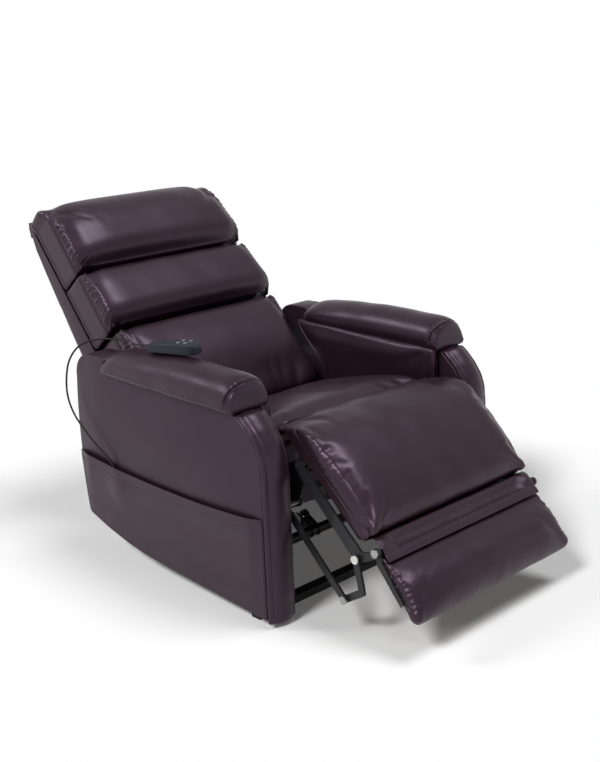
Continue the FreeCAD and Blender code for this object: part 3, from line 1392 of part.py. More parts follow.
def handset_cord():
    """From the handset over the rear of the arm and down into the side pocket."""
    placed = handset_place()
    start = size.handset_length / 2 + size.relief_length + 2 * size.fit_gap
    points = [placed.multVec(Vector(0, start + along, size.handset_exit_z))
              for along in (0, size.cord_first_run)]
    points += [Vector(*spot) for spot in CORD_ROUTE]
    edges, radii = rounded_route(points)
    print("cord arc radii:", ", ".join("%.0f" % radius for radius in radii))
    path = Part.Wire(edges)
    radius = size.cord_diameter / 2
    ring = Part.Wire([Part.makeCircle(radius, points[0], points[1] - points[0])])
    cord = path.makePipeShell([ring], True, False)
    expected = math.pi * radius ** 2 * path.Length
    if abs(cord.Volume / expected - 1) > 0.01:
        raise RuntimeError("the cord's volume isn't its section times its length")
    print("cord length: %.0f" % path.Length)
    solid("handset_cord", cord)
    end = points[-1]
    wide, deep, high = size.boot_wide, size.boot_deep, size.boot_high
    corner = Vector(end.x - wide / 2, end.y - deep / 2, end.z - high - size.fit_gap)
    boot = Part.makeBox(wide, deep, high, corner)
    solid("cord_boot", boot)


floor_frame()
floor_caps()
floor_uprights()
lift_arms()
side_plates()
chair_pins()
cross_tubes()
seat_frame()
seat_deck()
seat_front_roll()
seat_cushion()
arm_shells()
front_band()
arm_pads()
inner_arm_pads()
side_pocket()
back_frame()
back_brackets()
back_shell()
back_cushions()
leg_frame()
foot_fold()
leg_pads()
foot_flap()
ottoman_links()
actuators()
handset()
handset_cord()
export_all()
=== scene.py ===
# %% [markdown]
# # A lift recliner chair in dark bonded leather
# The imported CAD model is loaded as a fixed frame. Each cushion, panel and band is then dressed over it,
# and the steel, plastic and nylon pieces keep their CAD shapes and get finishes of their own.

import json
import math

import bmesh
import bpy
import numpy as np
from mathutils import Matrix, Vector

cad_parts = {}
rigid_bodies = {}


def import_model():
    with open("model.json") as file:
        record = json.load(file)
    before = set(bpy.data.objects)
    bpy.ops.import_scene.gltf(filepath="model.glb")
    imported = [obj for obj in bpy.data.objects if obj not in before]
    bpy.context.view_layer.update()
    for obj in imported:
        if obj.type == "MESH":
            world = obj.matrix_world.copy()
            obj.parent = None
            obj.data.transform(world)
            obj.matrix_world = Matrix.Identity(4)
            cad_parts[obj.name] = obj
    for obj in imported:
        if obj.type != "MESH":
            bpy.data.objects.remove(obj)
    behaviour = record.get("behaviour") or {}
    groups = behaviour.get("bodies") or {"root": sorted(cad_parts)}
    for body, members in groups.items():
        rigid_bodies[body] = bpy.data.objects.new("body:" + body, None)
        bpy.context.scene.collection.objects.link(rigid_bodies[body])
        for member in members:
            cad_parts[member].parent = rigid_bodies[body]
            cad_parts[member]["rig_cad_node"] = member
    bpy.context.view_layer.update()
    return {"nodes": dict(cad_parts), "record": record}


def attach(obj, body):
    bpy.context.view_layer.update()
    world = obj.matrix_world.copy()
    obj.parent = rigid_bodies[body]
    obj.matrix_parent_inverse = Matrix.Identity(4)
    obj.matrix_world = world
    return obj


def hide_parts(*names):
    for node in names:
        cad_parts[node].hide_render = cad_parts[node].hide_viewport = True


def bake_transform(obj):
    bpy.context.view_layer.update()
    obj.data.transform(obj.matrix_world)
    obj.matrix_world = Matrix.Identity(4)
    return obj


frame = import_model()

# %% [markdown]
# ## The camera
# The photograph is taken from the chair's front right, a little above it. The camera's place and lens were
# solved from the corners of the arms, the footrest and the back, so that the render can be laid over the photograph.

# %% Set the camera
EYE = Vector((-2.067, -2.032, 1.383))
YAW, PITCH, ROLL = (math.radians(a) for a in (45.06, -17.91, -1.43))
ahead = Vector((math.sin(YAW) * math.cos(PITCH), math.cos(YAW) * math.cos(PITCH), math.sin(PITCH)))
across = Vector((math.cos(YAW), -math.sin(YAW), 0))
above = across.cross(ahead)
rolled_x = across * math.cos(ROLL) + above * math.sin(ROLL)
rolled_y = above * math.cos(ROLL) - across * math.sin(ROLL)
lens = bpy.data.cameras.new("photo_camera")
lens.sensor_fit, lens.sensor_height = "VERTICAL", 36
lens.lens = 57.4
lens.shift_x, lens.shift_y = -0.0709, 0.0311
camera = bpy.data.objects.new("photo_camera", lens)
bpy.context.scene.collection.objects.link(camera)
turn = Matrix((rolled_x, rolled_y, -ahead)).transposed().to_4x4()
camera.matrix_world = Matrix.Translation(EYE) @ turn
bpy.context.scene.camera = camera
print("camera looks along", [round(v, 3) for v in ahead])

# %% [markdown]
# ## Frames of the moving parts
# The back and the footrest are easiest to shape lying in their own directions: X across the chair, Y along the
# footrest or into the back, and Z up. One small function turns such a shape into its place on the chair, and back.

# %% Local frames
def placed(angle, y, z):
    """Turns points about X by an angle in degrees and moves them to (y, z): a rotation matrix times each point."""
    c, s = math.cos(math.radians(angle)), math.sin(math.radians(angle))
    turning = np.array([[1, 0, 0], [0, c, -s], [0, s, c]])
    shift = np.array([0, y, z])
    return (lambda p: p @ turning.T + shift), (lambda p: (p - shift) @ turning)


BACK_LEAN, LEG_SLOPE, FOOT_SLOPE = -40, 41, 49
FOLD_Y, FOLD_Z = -0.285, 0.049
on_back, from_back = placed(BACK_LEAN, 0.545, 0.372)
on_leg, from_leg = placed(LEG_SLOPE, -0.068, 0.385)
hinge = on_leg(np.array([[0, FOLD_Y, FOLD_Z]]))[0]
on_foot, from_foot = placed(FOOT_SLOPE, hinge[1], hinge[2])
BACK_FRAME, LEG_FRAME, FOOT_FRAME = (on_back, from_back), (on_leg, from_leg), (on_foot, from_foot)
CHAIR_FRAME = (lambda p: p), (lambda p: p)
print("footrest's lower hinge at", hinge.round(4))

# %% [markdown]
# ## Meshes as arrays
# A mesh's points can be read into one numpy array, changed all at once and written back. That is much faster than a
# loop over the points, and a formula stays readable in it.

# %% Read and write points
def new_object(name, data):
    """An object in the scene for a mesh, curve or light."""
    piece = bpy.data.objects.new(name, data)
    bpy.context.scene.collection.objects.link(piece)
    return piece


def read_rows(mesh, field):
    """One row of three numbers for each vertex: its place ("co") or its normal ("normal")."""
    flat = np.empty(len(mesh.vertices) * 3)
    mesh.vertices.foreach_get(field, flat)
    return flat.reshape(-1, 3)


def read_points(mesh):
    """Every vertex's place."""
    return read_rows(mesh, "co")


def write_points(mesh, points):
    """Puts an array of places back into the mesh."""
    mesh.vertices.foreach_set("co", np.asarray(points, float).ravel())
    mesh.update()


def store(mesh, name, values):
    """Keeps one number for each vertex under a name that a material can read."""
    layer = mesh.attributes.get(name) or mesh.attributes.new(name, "FLOAT", "POINT")
    layer.data.foreach_set("value", np.asarray(values, np.float32))


def shaded_smooth(mesh):
    """Lets the light run smoothly over the facets."""
    mesh.polygons.foreach_set("use_smooth", np.ones(len(mesh.polygons), bool))


def facing_out(mesh):
    """Makes the faces of a closed mesh point outwards."""
    work = bmesh.new()
    work.from_mesh(mesh)
    bmesh.ops.recalc_face_normals(work, faces=work.faces)
    work.to_mesh(mesh)
    work.free()


def settled(piece):
    """Turns a piece with its modifiers into a plain mesh."""
    seen = piece.evaluated_get(bpy.context.evaluated_depsgraph_get())
    mesh = bpy.data.meshes.new_from_object(seen)
    piece.modifiers.clear()
    piece.data = mesh
    piece.vertex_groups.clear()
    return piece


# %% [markdown]
# ## Surfaces from grids and lines
# A sheet is a grid of points with a face in each cell. A bead or sleeve is the same grid rolled round a path. The
# paths and profiles are drawn by a few points, with a smooth line through them.

# %% Grids, tubes and smooth lines
def grid(name, points, rolled=False):
    """A surface from an array of points, rows by columns by 3: each cell is one face. A rolled one joins its last
    column to its first and has both ends closed."""
    rows, columns = points.shape[:2]
    index = np.arange(rows * columns).reshape(rows, columns)
    if rolled:
        index = np.hstack([index, index[:, :1]])
    a, b, c, d = index[:-1, :-1], index[:-1, 1:], index[1:, 1:], index[1:, :-1]
    faces = np.stack([a, b, c, d], axis=-1).reshape(-1, 4).tolist()
    if rolled:
        faces += [index[0, :columns].tolist()[::-1], index[-1, :columns].tolist()]
    mesh = bpy.data.meshes.new(name)
    mesh.from_pydata(points.reshape(-1, 3).tolist(), [], faces)
    facing_out(mesh)
    shaded_smooth(mesh)
    return new_object(name, mesh)


def tube(name, path, radius, sides):
    """A round bead along a path: a circle at each point, square to the path and turned with a fixed side vector."""
    along = np.gradient(path, axis=0)
    along /= np.linalg.norm(along, axis=1, keepdims=True)
    side = np.cross(along, [1.0, 0.02, 0.03])
    side /= np.linalg.norm(side, axis=1, keepdims=True)
    up = np.cross(along, side)
    angle = np.linspace(0, 2 * np.pi, sides, endpoint=False)
    ring = np.cos(angle)[None, :, None] * side[:, None, :] + np.sin(angle)[None, :, None] * up[:, None, :]
    return grid(name, path[:, None, :] + radius[:, None, None] * ring, rolled=True)


def smooth_line(points, count):
    """Points spread evenly along a line that bends smoothly through the given ones (cubic Hermite, Catmull-Rom)."""
    points = np.asarray(points, float)
    ends = np.vstack([2 * points[0] - points[1], points, 2 * points[-1] - points[-2]])
    steps = np.linspace(0, 1, 24, endpoint=False)[:, None, None]
    p0, p1, p2, p3 = ends[:-3], ends[1:-2], ends[2:-1], ends[3:]
    fine = 0.5 * (2 * p1 + (p2 - p0) * steps + (2 * p0 - 5 * p1 + 4 * p2 - p3) * steps ** 2
                  + (3 * p1 - p0 - 3 * p2 + p3) * steps ** 3)
    fine = np.vstack([fine.transpose(1, 0, 2).reshape(-1, points.shape[1]), points[-1:]])
    run = np.concatenate([[0], np.cumsum(np.linalg.norm(np.diff(fine, axis=0), axis=1))])
    even = np.linspace(0, run[-1], count)
    return np.stack([np.interp(even, run, fine[:, k]) for k in range(points.shape[1])], axis=1)


# %% [markdown]
# ## The handset's cord
# A thin black lead leaves the handset, crosses the rear of the arm pad, hangs in a curve behind the arm's rear edge
# and drops into the side pocket. It is one smooth NURBS curve on the same points as the CAD tube. Its radius is kept
# on its points, and the bevel's own depth is 1, so that the curve's box is as slim as the cord.

# %% The cord
HANDSET_TURN, HANDSET_TIP = math.radians(13.75), math.radians(3.5)
HANDSET_SPOT = np.array([-0.3395, 0.3045, 0.6005])
LEAD_HEIGHT = 0.012


def handset_point(y, z=LEAD_HEIGHT):
    """A point on the handset's middle line, tipped about X, then turned about Z, then moved to the handset's spot."""
    flat = np.array([0, y * math.cos(HANDSET_TIP) + z * math.sin(HANDSET_TIP),
                     z * math.cos(HANDSET_TIP) - y * math.sin(HANDSET_TIP)])
    spun = np.array([-flat[1] * math.sin(HANDSET_TURN), flat[1] * math.cos(HANDSET_TURN), flat[2]])
    return spun + HANDSET_SPOT


route = [handset_point(0.0896), handset_point(0.1236)]
route += [np.array(spot) / 1000 for spot in (
    (-345, 478, 597), (-318, 530, 588), (-321, 586, 583), (-348, 632, 581), (-388, 657, 571), (-415, 672, 532),
    (-421, 683, 480), (-421, 686, 428), (-420, 664, 384), (-420, 620, 350), (-419, 572, 318), (-411, 530, 290),
    (-405.8, 505, 252), (-405.8, 500, 214))]
curve = bpy.data.curves.new("handset_lead", "CURVE")
curve.dimensions = "3D"
spline = curve.splines.new("NURBS")
spline.points.add(len(route) - 1)
spline.points.foreach_set("co", np.hstack([np.array(route), np.ones((len(route), 1))]).ravel())
spline.order_u = 3
spline.use_endpoint_u = True
spline.resolution_u = 12
spline.points.foreach_set("radius", [0.0025] * len(route))
curve.bevel_depth, curve.bevel_resolution, curve.use_fill_caps = 1.0, 4, True
lead = new_object("handset_lead", curve)
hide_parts("handset_cord")
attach(lead, "chair")

# %% [markdown]
# The cord's length is measured on the curve itself, from a copy with no bevel, whose mesh is a plain line.

probe = curve.copy()
probe.bevel_depth = 0
holder = new_object("probe", probe)
line_mesh = bpy.data.meshes.new_from_object(holder.evaluated_get(bpy.context.evaluated_depsgraph_get()))
lead_length = float(np.linalg.norm(np.diff(read_points(line_mesh), axis=0), axis=1).sum())
bpy.data.objects.remove(holder)
print("cord length", round(lead_length, 3), "m")

# %% [markdown]
# ## Strain relief
# Where the lead leaves the handset, a short ribbed sleeve keeps it from kinking. It is a tube whose radius shrinks
# along its length, with a small square wave for the ribs.

# %% Tapered strain relief with ribs
along = np.linspace(0, 1, 40)
reach = np.array([handset_point(0.0755 + 0.0138 * t) for t in along])
ribs = 0.0034 + 0.0014 * (1 - along) + 0.0003 * np.sign(np.sin(along * 34))
relief = tube("lead_relief", reach, ribs, 20)
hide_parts("handset_strain_relief")
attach(relief, "chair")
print("lead_relief", len(relief.data.vertices), "points")

# %% [markdown]
# ## Nodes in few words
# A material is a tree of nodes. These helpers make a node with its settings, join two nodes, and build the two things
# that every finish here has: a colour that drifts between two tones, and a gloss that isn't the same all over.

# %% Helpers for materials
def nodes_of(name):
    """A new material, its tree of nodes and its shader."""
    material = bpy.data.materials.new(name)
    material.use_nodes = True
    tree = material.node_tree
    return material, tree, tree.nodes["Principled BSDF"]


def link(tree, a, out, b, into):
    """Joins an output of one node to an input of another."""
    tree.links.new(a.outputs[out], b.inputs[into])


def make(tree, kind, **settings):
    """A node with its settings: properties by their names, inputs by theirs with _ for a space."""
    node = tree.nodes.new(kind)
    for key, value in settings.items():
        if hasattr(node, key):
            setattr(node, key, value)
        else:
            node.inputs[key.replace("_", " ")].default_value = value
    return node


def noise(tree, where, scale, detail, **more):
    """Noise over the piece's own coordinates, with scale waves to the metre or so."""
    made = make(tree, "ShaderNodeTexNoise", Scale=scale, Detail=detail, **more)
    link(tree, where, "Object", made, "Vector")
    return made


def two_tones(tree, source, shader, dark, light, start, end):
    """The colour is dark where the noise is below start, light above end, and mixed between."""
    tones = make(tree, "ShaderNodeValToRGB")
    tones.color_ramp.elements[0].position, tones.color_ramp.elements[0].color = start, (*dark, 1)
    tones.color_ramp.elements[1].position, tones.color_ramp.elements[1].color = end, (*light, 1)
    link(tree, source, "Fac", tones, "Fac")
    link(tree, tones, "Color", shader, "Base Color")


def varied_gloss(tree, source, shader, gloss, spread):
    """The roughness goes from gloss to gloss plus spread as the noise goes from 0 to 1."""
    rough = make(tree, "ShaderNodeMapRange", To_Min=gloss, To_Max=gloss + spread)
    link(tree, source, "Fac", rough, "Value")
    link(tree, rough, "Result", shader, "Roughness")


def relief_on(tree, source, out, strength, distance, under=None):
    """A bump from a height, laid over the bump below it."""
    bump = make(tree, "ShaderNodeBump", Strength=strength, Distance=distance)
    link(tree, source, out, bump, "Height")
    if under:
        link(tree, under, "Normal", bump, "Normal")
    return bump


# %% [markdown]
# ## Leather
# Bonded leather is a smooth skin with a very fine grain, a soft gloss and slow creases. The grain is a small Voronoi
# bump, the creases are stretched noise, and gathers along the seams are waves that follow two numbers kept in the
# mesh: how far along the seam a point lies, and how strongly the seam pulls it in. A violet specular tint gives the
# plum sheen of the dyed surface.

# %% Leather material
GATHER_WAVES, GATHER_WANDER = 470.0, 9.0
PLUM_SHEEN = (0.94, 0.71, 0.98, 1)


def leather(name, dark, light, gloss, creases, scale):
    """Colour is a slow noise between two tones; height is grain, plus creases, plus gathers beside the seams. The
    gathers are the sine of the run along the seam and a wandering phase, times the seam's pull."""
    material, tree, shader = nodes_of(name)
    where = make(tree, "ShaderNodeTexCoord")
    two_tones(tree, noise(tree, where, 6.0, 4.0), shader, dark, light, 0.3, 0.7)
    varied_gloss(tree, noise(tree, where, 22.0, 5.0), shader, gloss, 0.14)
    grain = make(tree, "ShaderNodeTexVoronoi", Scale=900.0)
    link(tree, where, "Object", grain, "Vector")
    fine = relief_on(tree, grain, "Distance", 0.10, 0.0004)
    folds = noise(tree, where, scale, 3.0, Distortion=0.6)
    crease = relief_on(tree, folds, "Fac", creases, 0.002, under=fine)
    run = make(tree, "ShaderNodeAttribute", attribute_name="seam_run")
    pull = make(tree, "ShaderNodeAttribute", attribute_name="seam_pull")
    waves = make(tree, "ShaderNodeMath", operation="MULTIPLY")
    waves.inputs[1].default_value = GATHER_WAVES
    link(tree, run, "Fac", waves, 0)
    phase = make(tree, "ShaderNodeMath", operation="MULTIPLY_ADD")
    phase.inputs[1].default_value = GATHER_WANDER
    link(tree, noise(tree, where, 45.0, 2.0), "Fac", phase, 0)
    link(tree, waves, "Value", phase, 2)
    ripple = make(tree, "ShaderNodeMath", operation="SINE")
    link(tree, phase, "Value", ripple, 0)
    strength = make(tree, "ShaderNodeMath", operation="MULTIPLY")
    link(tree, ripple, "Value", strength, 0)
    link(tree, pull, "Fac", strength, 1)
    gather = relief_on(tree, strength, "Value", 0.35, 0.0020, under=crease)
    link(tree, gather, "Normal", shader, "Normal")
    shader.inputs["IOR"].default_value = 1.5
    shader.inputs["Specular IOR Level"].default_value = 0.42
    shader.inputs["Specular Tint"].default_value = PLUM_SHEEN
    return material


hide = leather("aubergine_leather", (0.017, 0.0070, 0.0120), (0.024, 0.0110, 0.0180), 0.27, 0.05, 45.0)
panel_hide = leather("panel_leather", (0.018, 0.0080, 0.0135), (0.024, 0.0115, 0.0185), 0.34, 0.04, 30.0)
print("leathers:", hide.name, panel_hide.name)

# %% [markdown]
# ## Steel, plastic and the other hard finishes
# The mechanism is powder-coated black steel with zinc-plated pins and white nylon bushings, and the handset is slate
# grey plastic. One recipe serves them all: the numbers say how metallic, how glossy and how grainy each is.

# %% Hard finishes
def hard(name, dark, light, metal, gloss, grain_scale, grain, coat=0.0):
    """A hard finish: two tones under noise, roughness that varies, and a fine bump of the given grain."""
    material, tree, shader = nodes_of(name)
    where = make(tree, "ShaderNodeTexCoord")
    mottle = noise(tree, where, 18.0, 6.0, Roughness=0.6)
    two_tones(tree, mottle, shader, dark, light, 0.35, 0.72)
    varied_gloss(tree, mottle, shader, gloss, 0.15)
    bump = relief_on(tree, noise(tree, where, grain_scale, 2.0), "Fac", grain, 0.0003)
    link(tree, bump, "Normal", shader, "Normal")
    shader.inputs["Metallic"].default_value = metal
    shader.inputs["Specular IOR Level"].default_value = 0.5 if metal else 0.28
    shader.inputs["Coat Weight"].default_value = coat
    return material


FINISHES = {
    "black_steel": hard("powder_coat", (0.010, 0.010, 0.012), (0.020, 0.020, 0.023), 0.0, 0.34, 1400.0, 0.35, 0.1),
    "zinc_steel": hard("zinc_plate", (0.30, 0.30, 0.29), (0.46, 0.46, 0.47), 1.0, 0.32, 700.0, 0.12),
    "rod_steel": hard("ground_rod", (0.55, 0.55, 0.57), (0.64, 0.64, 0.66), 1.0, 0.12, 900.0, 0.04),
    "board": hard("plywood", (0.30, 0.20, 0.12), (0.42, 0.30, 0.19), 0.0, 0.62, 260.0, 0.4),
    "black_plastic": hard("moulded_plastic", (0.012, 0.012, 0.013), (0.020, 0.020, 0.022), 0.0, 0.42, 1800.0, 0.25),
    "handset": hard("slate_plastic", (0.010, 0.012, 0.019), (0.015, 0.018, 0.028), 0.0, 0.42, 2200.0, 0.15),
    "button": hard("keypad_rubber", (0.20, 0.21, 0.23), (0.27, 0.28, 0.30), 0.0, 0.5, 1500.0, 0.2),
    "nylon": hard("white_nylon", (0.66, 0.65, 0.61), (0.76, 0.75, 0.71), 0.0, 0.3, 1200.0, 0.1),
    "cord": hard("cord_rubber", (0.006, 0.006, 0.006), (0.010, 0.010, 0.010), 0.0, 0.50, 1600.0, 0.2),
    "leather": hide,
    "leather_panel": panel_hide,
    "vinyl": panel_hide,
}

# %% [markdown]
# The record names a material slot for each CAD node. Every node that stays gets the finish of its slot, and so does
# each new piece that stands for one.

# %% Give out the finishes
slots = {part["node"]: part["material_slot"] for part in frame["record"]["subparts"]}


def finish(piece, slot):
    """Gives a piece one finish all over: the one for the record's slot that it stands for."""
    piece.data.materials.clear()
    piece.data.materials.append(FINISHES[slot])
    return piece


for name, piece in frame["nodes"].items():
    finish(piece, slots[name])
finish(lead, "cord")
finish(relief, "black_plastic")
print(len(frame["nodes"]), "CAD nodes finished")

# %% [markdown]
# ## An even skin for each cushion
# The cover starts as a copy of the CAD block's surface. A voxel remesh makes its faces even and small, which cloth
# needs, and a few rounds of smoothing take the steps off the voxels.

# %% Even skins
VOXEL = 0.0062


def merged(*nodes):
    """A copy of the surface of one or more CAD nodes with its loose triangles joined into one skin."""
    mesh = bpy.data.meshes.new(nodes[0] + "_skin")
    work = bmesh.new()
    for node in nodes:
        work.from_mesh(frame["nodes"][node].data)
    bmesh.ops.remove_doubles(work, verts=work.verts, dist=2e-6)
    work.to_mesh(mesh)
    work.free()
    return mesh


def calmed(piece, times):
    """Smooths a mesh: each round moves every point half way to the middle of its neighbours."""
    smooth = piece.modifiers.new("calm", "SMOOTH")
    smooth.factor, smooth.iterations = 0.5, times
    return settled(piece)


def remeshed(nodes, name, voxel=VOXEL):
    """One even skin round the CAD nodes, with faces as long as a voxel."""
    piece = new_object(name, merged(*nodes))
    skin = piece.modifiers.new("even", "REMESH")
    skin.mode, skin.voxel_size, skin.use_smooth_shade = "VOXEL", voxel, True
    settled(piece)
    return calmed(piece, 4)


def refined(piece):
    """One Catmull-Clark subdivision: every face becomes four, and edges soften."""
    finer = piece.modifiers.new("finer", "SUBSURF")
    finer.levels = finer.render_levels = 1
    settled(piece)
    shaded_smooth(piece.data)
    return piece


# %% [markdown]
# ## Blown-up covers
# A cushion here is a sewn cover over foam. The cover is blown up a little as cloth, held along its seams, so that the
# middle swells and the edges stay put, as a stuffed cover does. How far it may go is limited, smoothly, so that no
# flat shelf shows where the limit begins.

# %% Blow up a cover
LAST_FRAME = 20
HOLD_STEPS, HALF_STEP = (0.25, 0.5, 0.75, 1.0), 0.125


def blown(piece, held, cap, pressure=4.0, spare=0.0, calm=8):
    """Blows the cover up as cloth and limits how far it goes: a move of length d becomes cap * tanh(d / cap)."""
    before = read_points(piece.data)
    grip = piece.vertex_groups.new(name="held")
    for weight in HOLD_STEPS:
        chosen = np.flatnonzero((held >= weight - HALF_STEP) & (held < weight + HALF_STEP))
        grip.add(chosen.tolist(), weight, "REPLACE")
    cloth = piece.modifiers.new("cover", "CLOTH")
    cover = cloth.settings
    cover.quality, cover.mass, cover.air_damping = 3, 0.3, 2.0
    cover.tension_stiffness = cover.compression_stiffness = 12
    cover.shear_stiffness, cover.bending_stiffness = 4, 0.4
    cover.shrink_min = -spare
    cover.use_pressure, cover.uniform_pressure_force = True, pressure
    cover.vertex_group_mass = "held"
    cover.effector_weights.gravity = 0
    cloth.point_cache.frame_start, cloth.point_cache.frame_end = 1, LAST_FRAME
    for number in range(1, LAST_FRAME + 1):
        bpy.context.scene.frame_set(number)
    settled(piece)
    bpy.context.scene.frame_set(1)
    calmed(piece, calm)
    move = (read_points(piece.data) - before) * (1 - held[:, None])
    far = np.linalg.norm(move, axis=1, keepdims=True)
    move *= cap * np.tanh(far / cap) / np.maximum(far, 1e-9)
    write_points(piece.data, before + move)
    print(piece.name, len(before), "points, moved", round(float(far.mean()) * 1000, 1), "mm on average and",
          round(float(far.max()) * 1000, 1), "mm at most")
    return piece


# %% [markdown]
# ## Words for the recipes
# Each cushion's seams, folds and puckers are heights over its surface. They are written with four small functions:
# a slow wave, a row of gathers, a fade away from a line, and a smooth step from 0 to 1.

# %% Waves, gathers, fades and steps
def wave(run, length, wander):
    """A height along a seam: three sines of unlike lengths, so that no two puckers match."""
    turn = 2 * np.pi * run / length
    return (0.62 * np.sin(turn + 1.1 * np.sin(0.31 * turn + wander)) + 0.28 * np.sin(1.83 * turn + 2 * wander)
            + 0.18 * np.sin(0.47 * turn + 3 * wander))


def gathers(run, length, wander):
    """Gathered leather: round ridges between sharp folds, the size of a sine, at spacings that drift slowly."""
    turn = np.pi * run / length
    return np.abs(np.sin(turn + 0.8 * np.sin(0.37 * turn + wander) + 0.4 * np.sin(0.83 * turn + 2 * wander))) - 0.55


def fade(distance, width):
    """1 on the seam, falling smoothly to 0: exp(-(distance / width) squared)."""
    return np.exp(-(np.asarray(distance) / width) ** 2)


def ramp(value, start, end):
    """0 before start, 1 after end, and a smooth step between: 3 t squared less 2 t cubed."""
    t = np.clip((value - start) / (end - start), 0, 1)
    return t * t * (3 - 2 * t)


# %% [markdown]
# ## From CAD block to cushion
# The steps are the same for every padded piece: an even skin, the blown cover, a finer mesh, the seams pressed in
# along the surface's normals, and the finish. Then the CAD blocks that it stands for are hidden, and it is attached
# to the body that it rides on, if it has one.

# %% Press in the seams and assemble
def press(piece, frame_pair, recipe):
    """Moves every point along its own normal by the recipe's height, which it finds from local coordinates."""
    points = read_points(piece.data)
    height, run, pull = recipe(frame_pair[1](points))
    write_points(piece.data, points + read_rows(piece.data, "normal") * height[:, None])
    store(piece.data, "seam_run", run)
    store(piece.data, "seam_pull", pull)
    return piece


def cushion(name, nodes, body, frame_pair, held, cap, recipe, fill=0.6, rounds=1, **cloth):
    """One padded piece from its CAD block: even mesh, blown cover, finer mesh, seams pressed in, then the block
    hidden.
    """
    piece = remeshed(nodes, name)
    local = frame_pair[1](read_points(piece.data))
    blown(piece, held(local), cap, **cloth)
    for _ in range(rounds):
        refined(piece)
    press(piece, frame_pair, recipe)
    finish(piece, "leather")
    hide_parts(*nodes)
    if body:
        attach(piece, body)
    return piece


# %% [markdown]
# ## The back's three bustles
# The inside back is a stack of three soft rolls that hang one over the next. Each is sewn to the back along its
# upper and lower edges and gathered down both sides, where the cover is pulled round to the outside back. In the
# back's own frame, s runs up it and n out of it, towards the sitter.

# %% Head, middle and lumbar cushions
SIDE_SEAM = 0.036


def back_roll(low, high, half, rise, widen):
    """The height for one bustle: a fat lower lip that turns under, a drawn-in top, and gathers along the side seams.
    The cover is sewn at the side seam, n = SIDE_SEAM; rise lifts its crown and widen its upper sides."""
    def recipe(p):
        x, n, s = np.abs(p[:, 0]), -p[:, 1], p[:, 2]
        from_low, from_high = s - low, high - s
        front = ramp(n, 0.030, 0.075)
        lip = (0.007 * fade(from_low - 0.050, 0.036) - 0.011 * (1 - ramp(from_low, 0.0, 0.044)) ** 1.3) * front
        tuck = -0.009 * fade(from_high, 0.013) * front
        drape = 0.0008 * wave(p[:, 0] + 0.35 * s, 0.21, high * 9) * front * (1 - ramp(x, 0.20, 0.26))
        away = np.maximum(half - x, 0) + np.maximum(n - SIDE_SEAM, 0)
        side = ramp(x, half - 0.026, half - 0.004)
        corner = -0.009 * fade(away - 0.044, 0.034) * ramp(x, half - 0.100, half - 0.010)
        reach = 0.034 + 0.026 * fade(from_low, 0.05) + 0.014 * fade(from_high, 0.04)
        near = np.exp(-(away / reach) ** 2) * ramp(n, SIDE_SEAM - 0.003, SIDE_SEAM + 0.005)
        near = near * ramp(x, half - 0.120, half - 0.040)
        fan = s - away * (0.9 * fade(from_low, 0.06) - 0.7 * fade(from_high, 0.05))
        pulled = 0.0046 * gathers(fan, 0.0190, high * 30) * near
        valley = -0.0050 * fade(n - SIDE_SEAM, 0.0045) * side
        piping = 0.0022 * fade(n + 0.045, 0.0040) * side
        wide = widen * ramp(s, low + 0.16, low + 0.25) * side * front
        crown = rise * ramp(s, 0.610, 0.650) * (1 - ramp(n, 0.0, 0.05))
        height = lip + tuck + drape + corner + pulled + valley + piping + wide + crown
        return height, fan, np.clip(near, 0, 1) * 0.4
    return recipe


def back_hold(low, high):
    """The cover is held behind the side seam and along its upper edge, and its lower lip hangs free."""
    def held(p):
        n, s = -p[:, 1], p[:, 2]
        behind = 1 - ramp(n, SIDE_SEAM - 0.006, SIDE_SEAM + 0.008)
        edges = np.maximum(1 - ramp(s - low, 0.001, 0.006), 1 - ramp(high - s, 0.006, 0.026))
        return np.maximum(behind, edges)
    return held


for name, node, low, high, half, rise, widen in (
        ("head_bustle", "head_cushion", 0.427, 0.80, 0.288, 0.007, 0.0),
        ("middle_bustle", "middle_cushion", 0.234, 0.427, 0.288, 0.0, 0.0),
        ("lumbar_bustle", "lumbar_cushion", -0.10, 0.234, 0.275, 0.0, 0.010)):
    cushion(name, [node], "back", BACK_FRAME, back_hold(low, high), 0.024, back_roll(low, high, half, rise, widen))

# %% [markdown]
# ## The seat
# The seat is a flatter cushion on a board. Its cover is a little loose, and creased where it meets the arms and the
# front edge. It is held along its sides near the board, whose height falls towards the rear.

# %% Seat
SEAT_FRONT, SEAT_REAR, SEAT_HALF = 0.045, 0.485, 0.270


def seat_held(p):
    """Held near the seat's underside, which slopes in a straight line from front to rear."""
    underside = np.interp(p[:, 1], (SEAT_FRONT, SEAT_REAR), (0.330, 0.226))
    return 1 - ramp(p[:, 2] - underside, 0.020, 0.045)


def seat_recipe(p):
    """Small waves that fade away from the sides and from the front edge, and broad slow ones over the whole."""
    x, y = p[:, 0], p[:, 1]
    sides = 0.0009 * wave(y, 0.055, 1.3) * fade(SEAT_HALF - np.abs(x), 0.030)
    front = 0.0008 * wave(x, 0.045, 0.6) * fade(y - SEAT_FRONT, 0.020)
    broad = 0.0013 * wave(x + 0.5 * y, 0.21, 2.2)
    return sides + front + broad, y, np.zeros(len(p))


cushion("seat_cover", ["seat_cushion"], "chair", CHAIR_FRAME, seat_held, 0.016, seat_recipe, spare=0.004)

# %% [markdown]
# ## The footrest's two covers
# One piece of leather runs from the seat's front edge down over the calf pad, ruched along both sides. It stands for
# two CAD nodes, one on the chair and one on the footrest, and is baked in place, attached to neither moving body.
# The foot pad is a bolster whose ends are drawn in.

# %% Calf cover and foot cover
CALF_EDGE, CALF_SEAM = 0.279, 0.048


